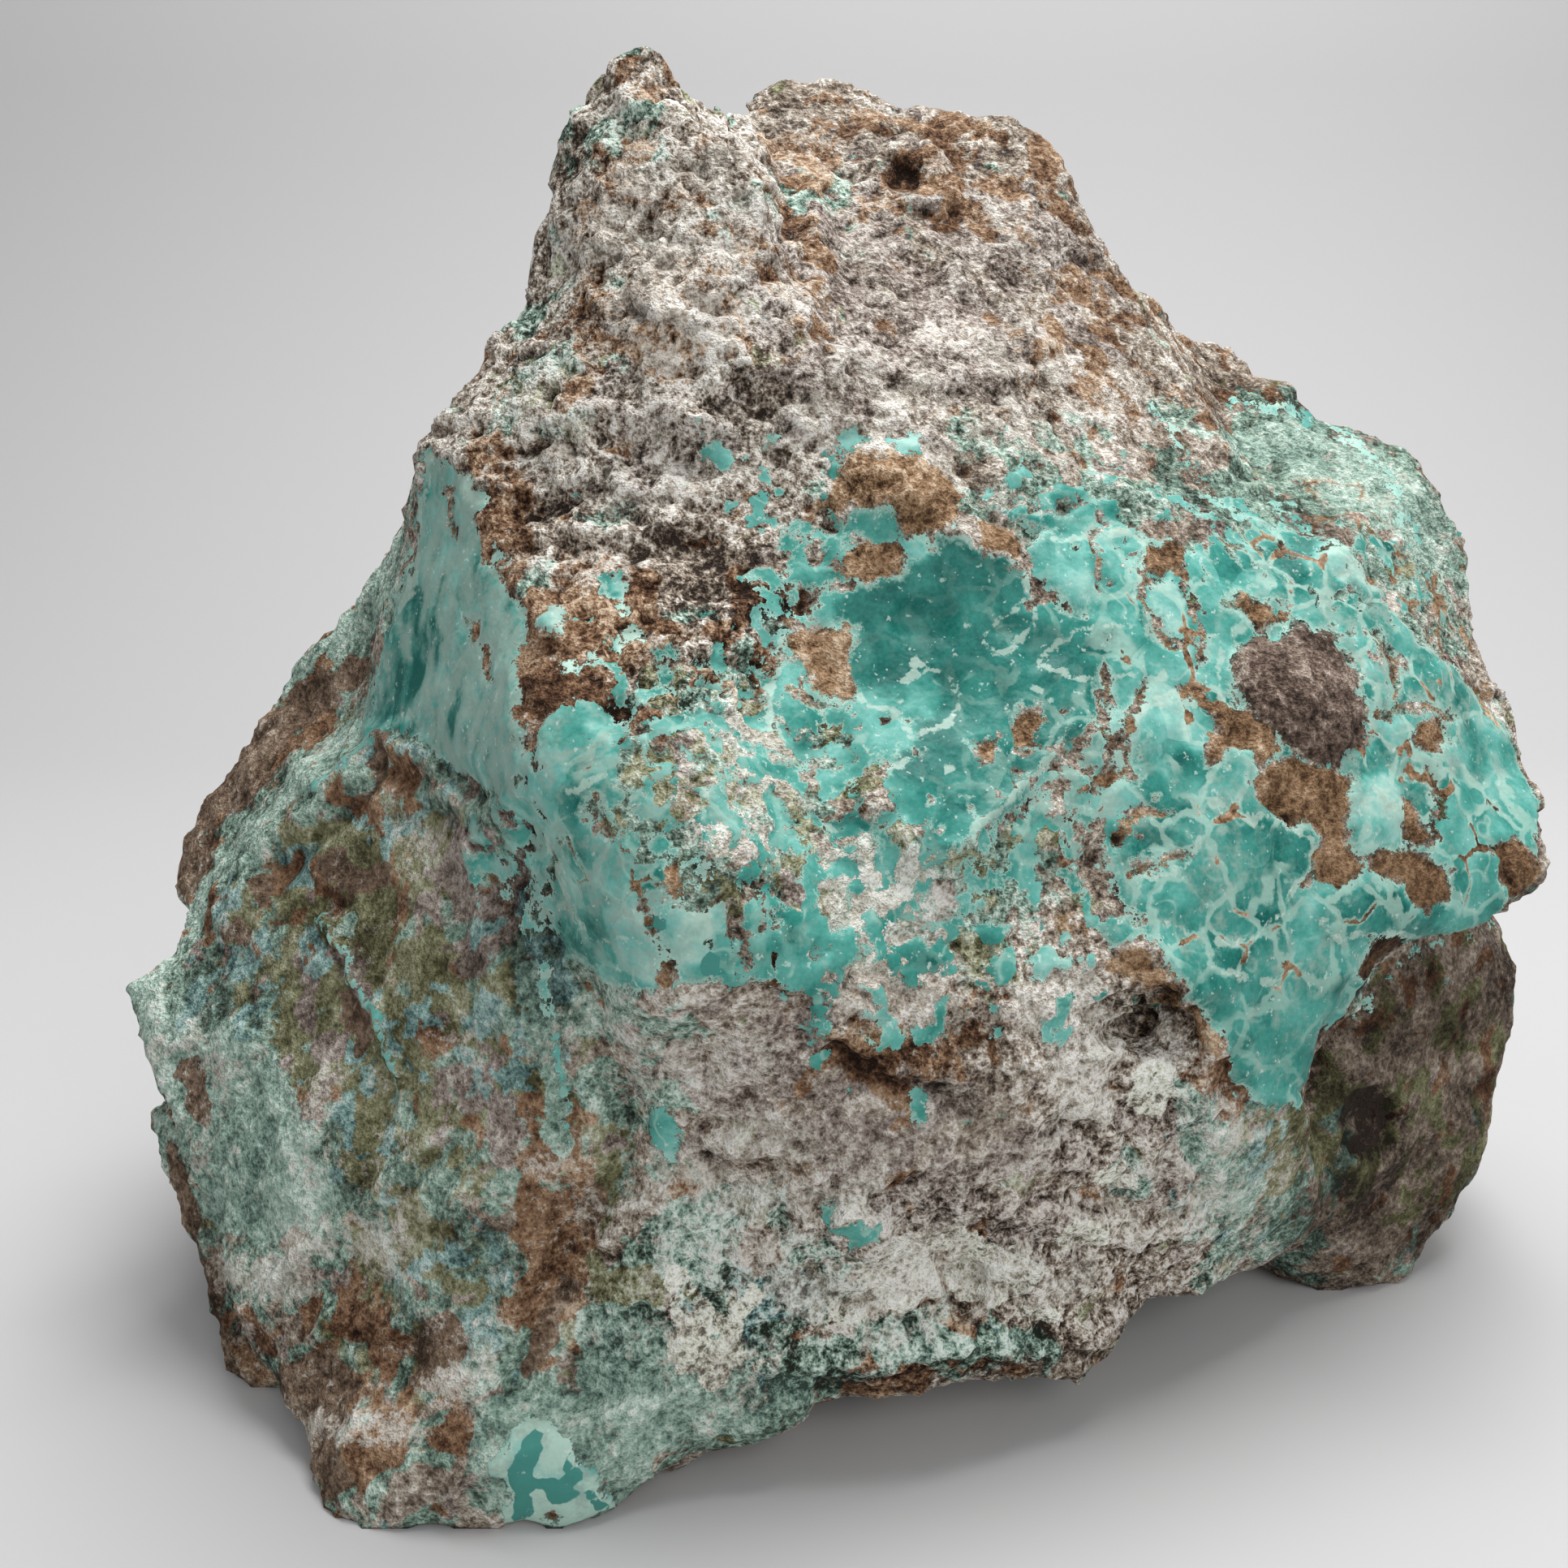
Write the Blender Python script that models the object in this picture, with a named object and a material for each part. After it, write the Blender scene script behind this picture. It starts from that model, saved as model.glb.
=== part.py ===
"""A raw turquoise nugget: one lump of brown-grey matrix rock, veined and crusted with turquoise.

The stone is laid out from a viewing station in front of it and a little above it. A landmark is
(across, down, near): where the line of sight to it crosses an upright sheet, in millimetres from
the sheet's left and top edges, and how far in front of the sheet (+) or behind it (-) it stands.
The sheet is square to the line of sight, SHEET_DISTANCE away. The front and the back of the main
block are two skins of landmarks that share the rim. Two lobes are hulls of their own landmarks.
All three are fused into one body, weathered, cut flat underneath and thinned to flat facets.
"""
import math

import bmesh
import bpy
from mathutils import Vector, noise
from mathutils.bvhtree import BVHTree
from mathutils.geometry import delaunay_2d_cdt

MM = 0.001

# The viewing station and its sheet.
STATION = Vector((-9.6, -215.5, 124.0)) * MM    # from the middle of the stone's footprint
SIGHT_PITCH = math.radians(14.3)                # how far the line of sight looks down
SHEET_DISTANCE = 198 * MM
SHEET_MIDDLE = 96.6                             # mm, from the left edge and from the top edge

# How fine the body is.
FUSE_VOXEL = 1.4 * MM
FACET_COUNT = 8600
SHORTEST_EDGE = 0.05 * MM
FAR_FACET_COUNT = 2600                          # on the side that faces away from the station
FACING_LIMIT = -0.15                            # cosine past which a place counts as facing away

# Weathering: size of the lumps, and how high they stand on rough rock.
WEATHERING = ((24 * MM, 1.3 * MM), (10 * MM, 1.0 * MM), (4.5 * MM, 0.7 * MM))
POLISHED_SHARE = 0.2                            # what is left of it on smooth turquoise
FAR_SIDE_SHARE = 2.4                            # and how much stronger it is on the far side
POLISH_REACH = (0.8, 1.2)                       # where it starts and ends to fade in, in half widths

ROCK_COLOUR = (0.22, 0.24, 0.19, 1)
ROCK_ROUGHNESS = 0.85

# The rim, clockwise from the shoulder: peak, rear slab, right shoulder, tip, bottom, foot, left face.
RIM = (
    (52.1, 56.1, 3), (52.9, 53.0, 4), (54.6, 50.5, 3), (56.9, 47.8, 2), (61.8, 41.0, 0),
    (63.6, 37.6, -3), (65.2, 35.0, -5), (65.3, 29.5, -5), (67.9, 22.8, -4), (69.1, 17.4, -4),
    (71.2, 12.6, -4), (73.4, 8.0, -3), (75.5, 6.0, -2), (77.4, 4.7, -1), (80.1, 4.6, -1),
    (82.9, 7.3, -1), (84.4, 10.6, -2), (85.7, 13.0, -12),
    (86.2, 10.6, -29), (90.0, 10.7, -31), (93.6, 9.7, -32), (97.0, 9.0, -32), (103.0, 8.9, -32),
    (107.4, 10.0, -32), (111.4, 11.2, -32), (115.4, 12.9, -31), (119.4, 12.3, -31), (124.3, 15.0, -30),
    (129.5, 17.5, -29), (131.8, 19.5, -28), (132.8, 23.6, -28), (136.6, 29.3, -27), (138.9, 33.4, -28),
    (142.4, 36.2, -42), (144.2, 39.8, -44), (148.4, 42.3, -46), (152.2, 44.8, -46),
    (153.5, 46.0, -42), (160.2, 46.1, -42), (161.6, 50.2, -42), (166.1, 52.0, -39), (170.3, 53.2, -37),
    (175.0, 55.2, -34), (177.0, 59.0, -32), (179.8, 64.0, -30), (182.5, 68.6, -28), (182.2, 75.0, -25),
    (183.0, 80.0, -22), (184.4, 84.5, -20), (187.1, 92.8, -15), (189.7, 96.5, -12), (191.2, 101.5, -9),
    (191.8, 106.0, -7), (190.0, 110.2, -6), (184.0, 113.8, -4), (178.0, 115.3, -2), (172.1, 118.7, 0),
    (168.9, 121.6, 1), (167.6, 124.6, 2), (163.7, 127.0, 3), (161.9, 132.0, 4), (160.6, 136.7, 4),
    (161.6, 143.0, -3), (162.0, 149.0, -9), (159.6, 154.0, -13), (155.6, 155.8, -13),
    (151.0, 158.8, -7), (146.5, 160.4, -4), (139.4, 160.0, -2), (138.5, 163.0, 2), (136.0, 166.0, 4),
    (132.4, 169.1, 8), (125.3, 170.1, 11), (117.0, 171.7, 13), (109.0, 172.6, 14), (102.4, 172.8, 15),
    (97.0, 175.6, 16), (92.0, 177.1, 17), (86.1, 177.9, 18), (83.6, 180.8, 18), (81.5, 183.6, 18),
    (76.9, 186.4, 19), (73.2, 187.9, 20), (70.8, 189.9, 20), (64.0, 188.9, 20), (54.0, 187.6, 20),
    (47.5, 189.4, 20), (43.6, 189.3, 20), (38.8, 185.9, 17), (37.0, 180.5, 13), (37.8, 176.4, 11),
    (35.4, 173.4, 8), (32.6, 168.9, 4), (30.4, 164.2, 2), (28.7, 160.0, 2), (27.9, 153.8, 0),
    (25.6, 147.6, -2), (21.4, 141.0, -4), (18.2, 135.2, -7), (15.8, 129.4, -9), (14.5, 126.0, -10),
    (14.8, 122.0, -11), (17.3, 118.8, -13), (21.8, 115.2, -18),
    (21.2, 111.0, -32), (22.0, 105.8, -34), (24.0, 100.0, -35), (26.8, 95.5, -35), (29.8, 90.6, -34),
    (33.2, 87.6, -34), (36.9, 80.6, -32), (42.0, 73.8, -30), (47.2, 67.0, -28), (50.4, 61.6, -24),
)

# Lines the front skin creases along. Where one form hides another, a second line stands behind it.
CREASES = {
    "peak ridge": ((85.7, 13.0, -12), (88.6, 15.4, 1), (92.2, 18.2, 2), (94.0, 21.4, 3),
                   (93.7, 25.0, 5), (95.4, 32.0, 6), (98.6, 40.0, 8), (104.0, 46.0, 9)),
    "slab behind the peak ridge": ((86.9, 12.6, -27), (90.2, 14.6, -25), (94.0, 17.2, -22),
                                   (95.8, 20.8, -18), (95.6, 25.2, -11), (97.2, 31.6, -4), (100.4, 39.0, 3)),
    "peak crest": ((79.0, 7.2, 3), (79.4, 12.0, 5), (76.0, 17.0, 5), (74.6, 24.0, 6), (71.6, 33.0, 6),
                   (67.4, 41.0, 6), (61.6, 48.0, 7), (56.0, 53.6, 8)),
    "crust line": ((52.9, 53.0, 4), (56.2, 57.0, 9), (60.6, 61.0, 12), (59.0, 64.6, 13), (60.6, 70.0, 16),
                   (63.8, 74.6, 20), (64.4, 79.4, 23), (63.6, 85.0, 26), (64.4, 90.8, 30)),
    "cliff's far edge": ((52.1, 56.1, 3), (51.5, 61.0, 2), (51.4, 67.0, 1), (48.8, 73.6, -1),
                         (47.2, 80.6, -2), (45.7, 88.2, -3)),
    "slab behind the cliff": ((50.9, 60.6, -18), (49.6, 67.0, -20), (46.9, 73.2, -21),
                              (45.6, 80.2, -21), (43.8, 87.0, -20)),
    "cliff's inner edge": ((51.6, 70.5, 5), (53.4, 77.0, 8), (54.4, 82.0, 10), (52.8, 89.8, 10),
                           (55.0, 93.6, 13), (59.6, 97.6, 22), (61.6, 99.4, 27)),
    "left ridge": ((45.7, 88.2, -3), (45.4, 91.0, -1), (41.2, 93.6, -2), (37.4, 96.0, -4), (33.4, 100.0, -6),
                   (31.8, 104.2, -7), (28.0, 108.4, -8), (25.2, 112.4, -9), (23.8, 116.0, -10),
                   (19.6, 121.0, -8), (17.6, 126.0, -7)),
    "slab behind the left ridge": ((43.8, 87.0, -20), (40.4, 91.4, -20), (36.0, 94.4, -21),
                                   (32.2, 98.4, -22), (30.2, 103.0, -23), (26.4, 107.2, -24),
                                   (23.6, 111.4, -25)),
    "turquoise crease": ((61.6, 99.4, 27), (63.4, 102.6, 23), (62.8, 106.0, 20), (64.8, 111.4, 20),
                         (67.2, 116.6, 21), (71.6, 121.6, 23), (75.8, 126.4, 24), (76.2, 134.0, 22),
                         (78.2, 140.6, 21)),
    "lower crease": ((72.0, 147.0, 21), (71.2, 154.0, 19), (71.8, 163.0, 18), (70.8, 171.0, 18)),
    "white crease": ((52.6, 140.6, 17), (46.2, 147.6, 14), (40.0, 152.0, 10), (34.6, 157.0, 6)),
    "slab's right edge": ((138.9, 33.4, -28), (141.8, 40.0, -22), (144.8, 46.4, -20), (148.6, 51.4, -18),
                          (151.4, 55.8, -15), (154.6, 61.0, -12), (160.0, 65.0, -10), (165.4, 67.4, -8),
                          (169.0, 73.0, -7), (174.4, 78.6, -7), (180.0, 84.0, -8), (187.1, 92.8, -15)),
    "shoulder behind the slab": ((143.6, 39.6, -40), (146.6, 44.6, -38), (150.2, 50.0, -35),
                                 (153.4, 54.6, -30), (157.0, 59.2, -23), (162.0, 62.4, -18)),
    "pool's upper rim": ((103.0, 73.4, 15), (107.6, 70.4, 14), (113.0, 67.4, 13), (117.0, 65.4, 12),
                         (121.4, 67.6, 12), (126.4, 71.4, 12)),
    "pool's lower ledge": ((109.2, 96.0, 25), (111.6, 101.8, 27), (117.6, 105.0, 28), (121.6, 102.2, 26),
                           (126.4, 97.2, 21), (131.0, 92.4, 17)),
    "foot of the ledge": ((109.6, 104.2, 26), (117.8, 108.0, 24), (124.6, 104.6, 21)),
    "bulge's lower edge": ((77.0, 122.8, 32), (82.0, 123.6, 35), (88.0, 122.2, 35), (95.6, 121.6, 34),
                           (103.0, 122.6, 31), (109.6, 127.6, 29)),
    "under the bulge": ((79.6, 129.0, 27), (87.4, 127.6, 29), (96.4, 127.4, 28), (103.6, 130.6, 27)),
    "brow over the cave": ((135.6, 120.6, 22), (139.6, 120.2, 22), (144.4, 121.6, 21), (148.0, 127.4, 17),
                           (151.2, 131.6, 14), (152.2, 136.6, 12)),
    "tongue's right edge": ((184.0, 113.8, -4), (176.0, 112.6, 2), (169.0, 117.4, 5), (164.6, 123.4, 7),
                            (160.2, 129.6, 8), (158.6, 135.0, 8)),
    "bottom brow": ((84.0, 166.0, 20), (92.0, 168.6, 19), (100.6, 167.4, 18), (110.6, 166.6, 17),
                    (119.0, 166.0, 16), (127.0, 163.6, 13), (133.4, 161.0, 9)),
}

# Single landmarks of the front skin, form by form.
FRONT_POINTS = (
    # peak face
    (84.0, 14.0, 4), (88.0, 21.6, 6), (82.0, 24.0, 7), (80.0, 33.0, 9), (88.0, 33.0, 9),
    (75.0, 42.0, 10), (84.0, 43.0, 12), (92.0, 45.0, 11), (68.0, 50.0, 11), (77.0, 53.0, 14),
    (88.0, 54.0, 13), (97.0, 53.0, 11),
    # rear slab, which leans back from the mound over the pool to its top edge
    (93.0, 13.2, -27), (103.0, 14.0, -27), (114.0, 16.6, -26), (124.0, 20.6, -24), (104.0, 22.0, -19),
    (116.0, 24.6, -18), (127.0, 29.0, -18), (105.0, 31.6, -9), (117.0, 35.0, -9), (130.0, 38.0, -14),
    (110.0, 42.0, 0), (121.0, 45.0, -2), (134.0, 46.0, -10), (106.0, 52.4, 9), (117.0, 54.0, 6),
    (128.0, 54.0, -1), (140.0, 52.0, -12), (112.0, 59.4, 12), (124.0, 62.0, 8), (136.0, 61.0, 1),
    (147.0, 60.6, -7),
    # right shoulder
    (147.4, 46.0, -41), (156.0, 49.8, -36), (161.0, 56.0, -30), (168.0, 58.0, -31), (171.4, 65.4, -21),
    (177.0, 68.0, -24), (177.6, 76.6, -17), (182.0, 84.0, -16),
    # rough matrix between the crust line and the pool
    (66.0, 62.0, 13), (74.0, 63.0, 14), (84.0, 64.0, 15), (94.0, 63.0, 13), (102.0, 63.4, 13),
    (68.6, 72.0, 19), (78.0, 73.0, 20), (88.0, 74.0, 18), (96.6, 74.0, 15), (69.4, 82.0, 26),
    (78.0, 83.0, 27), (87.0, 84.0, 25), (95.0, 83.0, 19), (102.0, 82.6, 17), (70.0, 90.6, 31),
    # turquoise bulge and the mottled middle
    (66.4, 96.4, 32), (74.0, 98.0, 35), (71.0, 105.0, 32), (79.0, 106.0, 37), (76.0, 114.0, 35),
    (84.0, 114.6, 37), (82.0, 92.0, 33), (90.0, 94.0, 31), (98.0, 93.0, 24), (88.0, 104.0, 36),
    (97.0, 104.0, 31), (93.0, 114.0, 35), (103.0, 113.4, 30), (105.0, 104.0, 26), (112.0, 114.6, 26),
    (104.0, 97.0, 23),
    # pool, a shallow bowl
    (113.4, 76.0, 12), (122.0, 78.0, 13), (114.0, 88.0, 17), (123.0, 88.6, 17), (132.0, 80.4, 13),
    # turquoise band of the right slab
    (134.0, 70.6, 9), (145.0, 70.0, 4), (155.0, 72.6, 0), (140.0, 81.0, 11), (150.0, 81.0, 7),
    (160.0, 85.6, 6), (169.0, 84.6, 1), (178.0, 92.0, -4), (143.6, 91.6, 13), (154.0, 94.6, 11),
    (165.0, 96.4, 6), (175.0, 101.0, 1), (184.0, 104.0, -4), (137.0, 101.0, 17), (147.6, 104.0, 15),
    (158.0, 106.6, 11), (168.6, 108.0, 6), (143.0, 113.4, 18), (153.6, 117.6, 14), (161.6, 116.6, 10),
    (154.6, 127.4, 12), (132.6, 108.4, 19),
    # hollow middle, cave and the pillar beside it
    (121.4, 114.0, 23), (129.0, 116.6, 22), (120.0, 122.6, 25), (128.4, 125.6, 24), (139.6, 125.0, 11),
    (144.0, 127.0, 11), (136.6, 130.0, 19), (146.6, 133.6, 14), (157.0, 144.0, 1), (152.6, 148.0, 3),
    # bottom face
    (112.0, 134.4, 26), (122.6, 134.6, 24), (132.6, 139.0, 20), (144.0, 141.6, 12), (86.0, 137.0, 25),
    (98.6, 138.6, 25), (92.0, 148.6, 22), (104.0, 149.0, 22), (115.0, 146.0, 21), (126.6, 149.6, 17),
    (138.6, 152.0, 9), (147.6, 154.6, 1), (82.0, 153.0, 22), (96.6, 158.6, 19), (108.6, 157.0, 17),
    (119.6, 157.6, 14), (79.0, 162.6, 21), (89.6, 172.6, 20), (79.0, 173.0, 21), (104.0, 170.6, 15),
    # left face
    (52.0, 98.6, 8), (44.0, 103.0, 2), (55.0, 107.0, 12), (36.0, 112.0, -2), (47.0, 115.0, 8),
    (58.0, 120.0, 17), (28.6, 122.0, -4), (39.0, 126.0, 4), (50.0, 129.6, 13), (62.6, 130.0, 20),
    (24.0, 131.6, -3), (33.0, 138.6, 3), (43.0, 139.0, 10), (61.0, 141.0, 21), (69.6, 137.0, 23),
    (31.0, 149.0, 3), (56.0, 151.6, 19), (44.6, 157.6, 12), (64.0, 158.6, 21), (53.0, 163.0, 17),
    (38.6, 165.6, 9),
    # foot
    (46.0, 171.0, 15), (58.0, 172.6, 20), (43.6, 179.0, 18), (52.0, 181.6, 22), (63.6, 181.0, 24),
    (73.0, 179.6, 23),
)

# The back skin: the far side, the top's thickness, the left side and the hidden underside.
BACK_POINTS = (
    (78.0, 12.6, -17), (75.6, 24.0, -27), (72.0, 38.0, -36), (62.0, 52.0, -36), (97.0, 17.6, -46),
    (113.0, 20.6, -52), (126.0, 27.0, -50), (88.0, 36.0, -58), (108.0, 40.0, -70), (130.0, 44.0, -66),
    (150.0, 54.6, -66), (166.0, 62.0, -56), (64.0, 68.0, -56), (84.0, 64.0, -74), (112.0, 68.0, -80),
    (140.0, 72.0, -76), (168.0, 80.0, -56), (50.0, 84.0, -54), (38.0, 96.0, -50), (60.0, 100.0, -68),
    (86.0, 98.0, -82), (118.0, 100.0, -86), (148.0, 100.0, -72), (174.0, 98.0, -40), (30.0, 112.0, -40),
    (44.0, 122.0, -56), (176.0, 108.0, -26),
    (70.0, 136.0, -84), (92.0, 134.0, -92), (116.0, 135.0, -91), (138.0, 137.0, -82), (153.0, 141.0, -66),
    (156.0, 149.0, -46), (145.0, 156.6, -33), (131.0, 161.6, -24), (120.0, 166.6, -15), (106.0, 169.6, -9),
    (96.0, 172.6, -3), (84.0, 176.6, 3), (74.0, 184.0, 8), (58.0, 184.6, 9), (44.0, 183.0, 7),
    (43.0, 170.0, -9), (39.6, 160.0, -30), (48.0, 147.0, -54), (90.0, 152.0, -60), (118.0, 152.0, -58),
    (26.0, 128.0, -28), (31.0, 146.0, -24),
)

# The lobe behind the right slab's overhang, and the dark slab behind the left face's lower edge.
REAR_LOBE = (
    (181.6, 111.0, -22), (184.8, 119.6, -26), (186.2, 124.0, -28), (185.0, 134.0, -30), (183.4, 142.0, -31),
    (180.0, 148.6, -31), (174.6, 153.0, -30), (171.0, 158.6, -28), (164.0, 158.8, -26), (157.0, 156.6, -24),
    (170.0, 114.0, -10), (166.0, 132.0, -10), (163.0, 142.0, -12), (163.0, 151.0, -17), (175.0, 127.0, -15),
    (173.6, 142.0, -19), (181.0, 105.0, -34), (170.0, 103.0, -50), (150.0, 104.0, -60), (180.0, 124.0, -56),
    (176.0, 138.0, -58), (168.0, 148.0, -52), (148.0, 146.0, -56), (150.0, 116.0, -10), (148.0, 134.0, -8),
)
DARK_SLAB = (
    (18.8, 137.4, -15), (20.0, 141.6, -14), (21.4, 146.6, -13), (23.4, 151.6, -12), (24.4, 158.6, -10),
    (25.8, 164.6, -8), (27.4, 169.8, -6), (34.6, 172.0, -3), (24.0, 138.0, -12), (31.0, 152.0, -8),
    (35.0, 164.0, -4), (26.0, 132.0, -32), (30.0, 146.0, -36), (33.0, 158.0, -28), (40.0, 168.6, -12),
    (46.0, 140.0, -40), (46.0, 150.0, -10), (44.0, 165.0, 2),
)

# Smooth turquoise, as (across, down, half width, half height) of an oval on the sheet.
POLISHED = (
    (57.0, 78.0, 7.0, 20.0), (72.0, 106.0, 13.0, 15.0), (118.0, 85.0, 17.0, 21.0), (150.0, 80.0, 20.0, 14.0),
    (152.0, 104.0, 20.0, 14.0), (158.0, 124.0, 10.0, 12.0), (176.0, 100.0, 12.0, 13.0),
)

# Hollows and lumps, as (across, down, radius, height): a negative height is a pit.
RELIEF = (
    (111.0, 22.2, 3.6, -3.5), (107.6, 19.0, 3.4, 1.6), (114.6, 20.6, 2.6, 1.6), (91.6, 47.6, 3.4, -1.8),
    (68.2, 77.0, 2.4, 1.6), (67.0, 85.6, 4.4, 2.0), (109.6, 60.6, 6.0, 2.2), (101.0, 82.0, 4.6, -1.6),
    (124.6, 78.4, 2.6, -1.4), (131.0, 81.0, 3.0, -1.3), (160.2, 85.4, 8.6, 1.8), (69.2, 110.0, 3.0, -1.4),
    (118.0, 100.0, 5.0, -1.0), (141.0, 124.6, 5.4, -4.5), (168.4, 138.6, 4.6, -4.5), (177.0, 129.0, 3.6, -1.6),
    (120.0, 157.0, 5.6, -2.6), (109.4, 157.4, 5.0, -2.2), (104.6, 150.6, 4.4, 1.6), (131.6, 152.0, 5.0, 1.8),
    (90.0, 146.0, 5.0, -1.6), (85.0, 130.0, 5.0, -1.6), (56.0, 95.6, 3.0, -2.4), (34.0, 108.0, 5.0, -1.4),
    (42.0, 118.0, 6.0, 1.6), (30.0, 128.0, 5.0, 1.6), (46.0, 133.0, 6.0, -1.6), (60.0, 150.0, 6.0, 1.6),
    (50.0, 168.0, 5.0, -1.6), (44.0, 176.0, 4.0, 1.6), (76.4, 51.0, 5.6, -1.8), (82.0, 36.6, 6.0, 1.8),
    (72.0, 57.0, 4.6, 1.4), (86.0, 68.0, 5.0, -1.6), (127.0, 42.0, 6.0, 1.6), (118.0, 48.0, 5.0, -1.4),
    (136.0, 56.0, 5.0, -1.4), (165.0, 56.0, 4.0, 1.6), (176.0, 66.0, 4.6, -1.6), (157.0, 48.6, 3.0, 1.6),
)


def sight_axes():
    """The station's own right, up and forward directions."""
    right = Vector((1, 0, 0))
    forward = Vector((0, math.cos(SIGHT_PITCH), -math.sin(SIGHT_PITCH)))
    return right, right.cross(forward), forward


def sight_line(across, down):
    """The way from the station to a place on the sheet, for each metre along the line of sight."""
    right, up, forward = sight_axes()
    to_right = (across - SHEET_MIDDLE) * MM / SHEET_DISTANCE
    to_top = (SHEET_MIDDLE - down) * MM / SHEET_DISTANCE
    return forward + to_right * right + to_top * up


def place(landmark):
    """A landmark's point in the stone's own frame."""
    across, down, near = landmark
    return STATION + (SHEET_DISTANCE - near * MM) * sight_line(across, down)


def on_sheet(point):
    """Where the line of sight to a point crosses the sheet, in millimetres."""
    right, up, forward = sight_axes()
    away = point - STATION
    scale = SHEET_DISTANCE / away.dot(forward) / MM
    return SHEET_MIDDLE + away.dot(right) * scale, SHEET_MIDDLE - away.dot(up) * scale


def skin(bm, rim_verts, inner, creases):
    """The corners of triangles that fill the rim through the inner landmarks and along the creases."""
    landmarks = list(RIM) + list(inner)
    index = {mark[:2]: number for number, mark in enumerate(landmarks)}
    edges = []
    for line in creases:
        for mark in line:
            if mark[:2] not in index:
                index[mark[:2]] = len(landmarks)
                landmarks.append(mark)
        edges += [(index[a[:2]], index[b[:2]]) for a, b in zip(line, line[1:])]
    flat = [Vector((mark[0], -mark[1])) for mark in landmarks]
    rim_loop = list(range(len(RIM)))[::-1]
    _, _, triangles, origins, _, _ = delaunay_2d_cdt(flat, edges, [rim_loop], 1, 1e-6)
    crossed = [number for number, origin in enumerate(origins) if not origin]
    if crossed:
        raise ValueError(f"{len(crossed)} crease lines cross each other")
    verts = list(rim_verts) + [bm.verts.new(place(mark)) for mark in landmarks[len(RIM):]]
    return [[verts[origins[corner][0]] for corner in triangle] for triangle in triangles]


def add_main_block(bm):
    """The block whose front and back skins share the rim."""
    rim_verts = [bm.verts.new(place(mark)) for mark in RIM]
    for corners in skin(bm, rim_verts, FRONT_POINTS, CREASES.values()):
        bm.faces.new(corners)
    for corners in skin(bm, rim_verts, BACK_POINTS, ()):
        bm.faces.new(corners[::-1])


def add_lobe(bm, landmarks):
    """A lobe: the hull of its landmarks."""
    verts = [bm.verts.new(place(mark)) for mark in landmarks]
    hull = bmesh.ops.convex_hull(bm, input=verts)
    spare = {v for v in hull["geom_interior"] + hull["geom_unused"] if isinstance(v, bmesh.types.BMVert)}
    bmesh.ops.delete(bm, geom=list(spare), context="VERTS")


def new_object(name, bm):
    mesh = bpy.data.meshes.new(name)
    bm.to_mesh(mesh)
    bm.free()
    stone = bpy.data.objects.new(name, mesh)
    bpy.context.scene.collection.objects.link(stone)
    return stone


def apply_modifiers(stone):
    """Replace the object's mesh with what its modifiers make of it."""
    graph = bpy.context.evaluated_depsgraph_get()
    made = bpy.data.meshes.new_from_object(stone.evaluated_get(graph))
    stone.modifiers.clear()
    stone.data = made


def fuse(stone):
    """Join the block and its lobes into one closed surface."""
    remesh = stone.modifiers.new("fuse", "REMESH")
    remesh.mode = "VOXEL"
    remesh.voxel_size = FUSE_VOXEL
    remesh.adaptivity = 0
    apply_modifiers(stone)


def keep_largest_body(bm):
    """Drop whatever isn't joined to the stone's outer surface."""
    left = set(bm.verts)
    bodies = []
    while left:
        body, edge_of_body = set(), [left.pop()]
        while edge_of_body:
            vert = edge_of_body.pop()
            body.add(vert)
            for edge in vert.link_edges:
                other = edge.other_vert(vert)
                if other in left:
                    left.remove(other)
                    edge_of_body.append(other)
        bodies.append(body)
    bodies.sort(key=len)
    for body in bodies[:-1]:
        bmesh.ops.delete(bm, geom=list(body), context="VERTS")


def faces_station(vert):
    return vert.normal.dot((STATION - vert.co).normalized()) > FACING_LIMIT


def polish(point):
    """How much of the weathering a point takes: all on rough rock, little on smooth turquoise."""
    across, down = on_sheet(point)
    start, end = POLISH_REACH
    share = 1.0
    for middle_x, middle_y, half_x, half_y in POLISHED:
        reach = math.hypot((across - middle_x) / half_x, (down - middle_y) / half_y)
        share = min(share, max(0.0, (reach - start) / (end - start)))
    return POLISHED_SHARE + (1 - POLISHED_SHARE) * share


def weather(bm):
    """Raise and sink the surface in lumps of several sizes."""
    bm.normal_update()
    moves = []
    for vert in bm.verts:
        height = sum(amount * noise.noise(vert.co / size + Vector((0, 0, 7 * step)))
                     for step, (size, amount) in enumerate(WEATHERING))
        share = polish(vert.co) if faces_station(vert) else FAR_SIDE_SHARE
        moves.append(vert.normal * height * share)
    for vert, move in zip(bm.verts, moves):
        vert.co += move


def carve(bm):
    """Dent the pits and raise the lumps, each round its own place on the front."""
    bm.normal_update()
    tree = BVHTree.FromBMesh(bm)
    moves = {}
    for across, down, radius, height in RELIEF:
        middle, normal, _, _ = tree.ray_cast(STATION, sight_line(across, down).normalized())
        for vert in bm.verts:
            away = (vert.co - middle).length / (radius * MM)
            if away < 1 and vert.normal.dot(normal) > 0:
                push = height * MM * (1 - away * away) ** 2
                moves[vert] = moves.get(vert, Vector()) + push * vert.normal
    for vert, move in moves.items():
        vert.co += move


def reshape(stone):
    bm = bmesh.new()
    bm.from_mesh(stone.data)
    keep_largest_body(bm)
    weather(bm)
    carve(bm)
    bm.to_mesh(stone.data)
    bm.free()


def triangle_count(mesh):
    return sum(len(face.vertices) - 2 for face in mesh.polygons)


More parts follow.
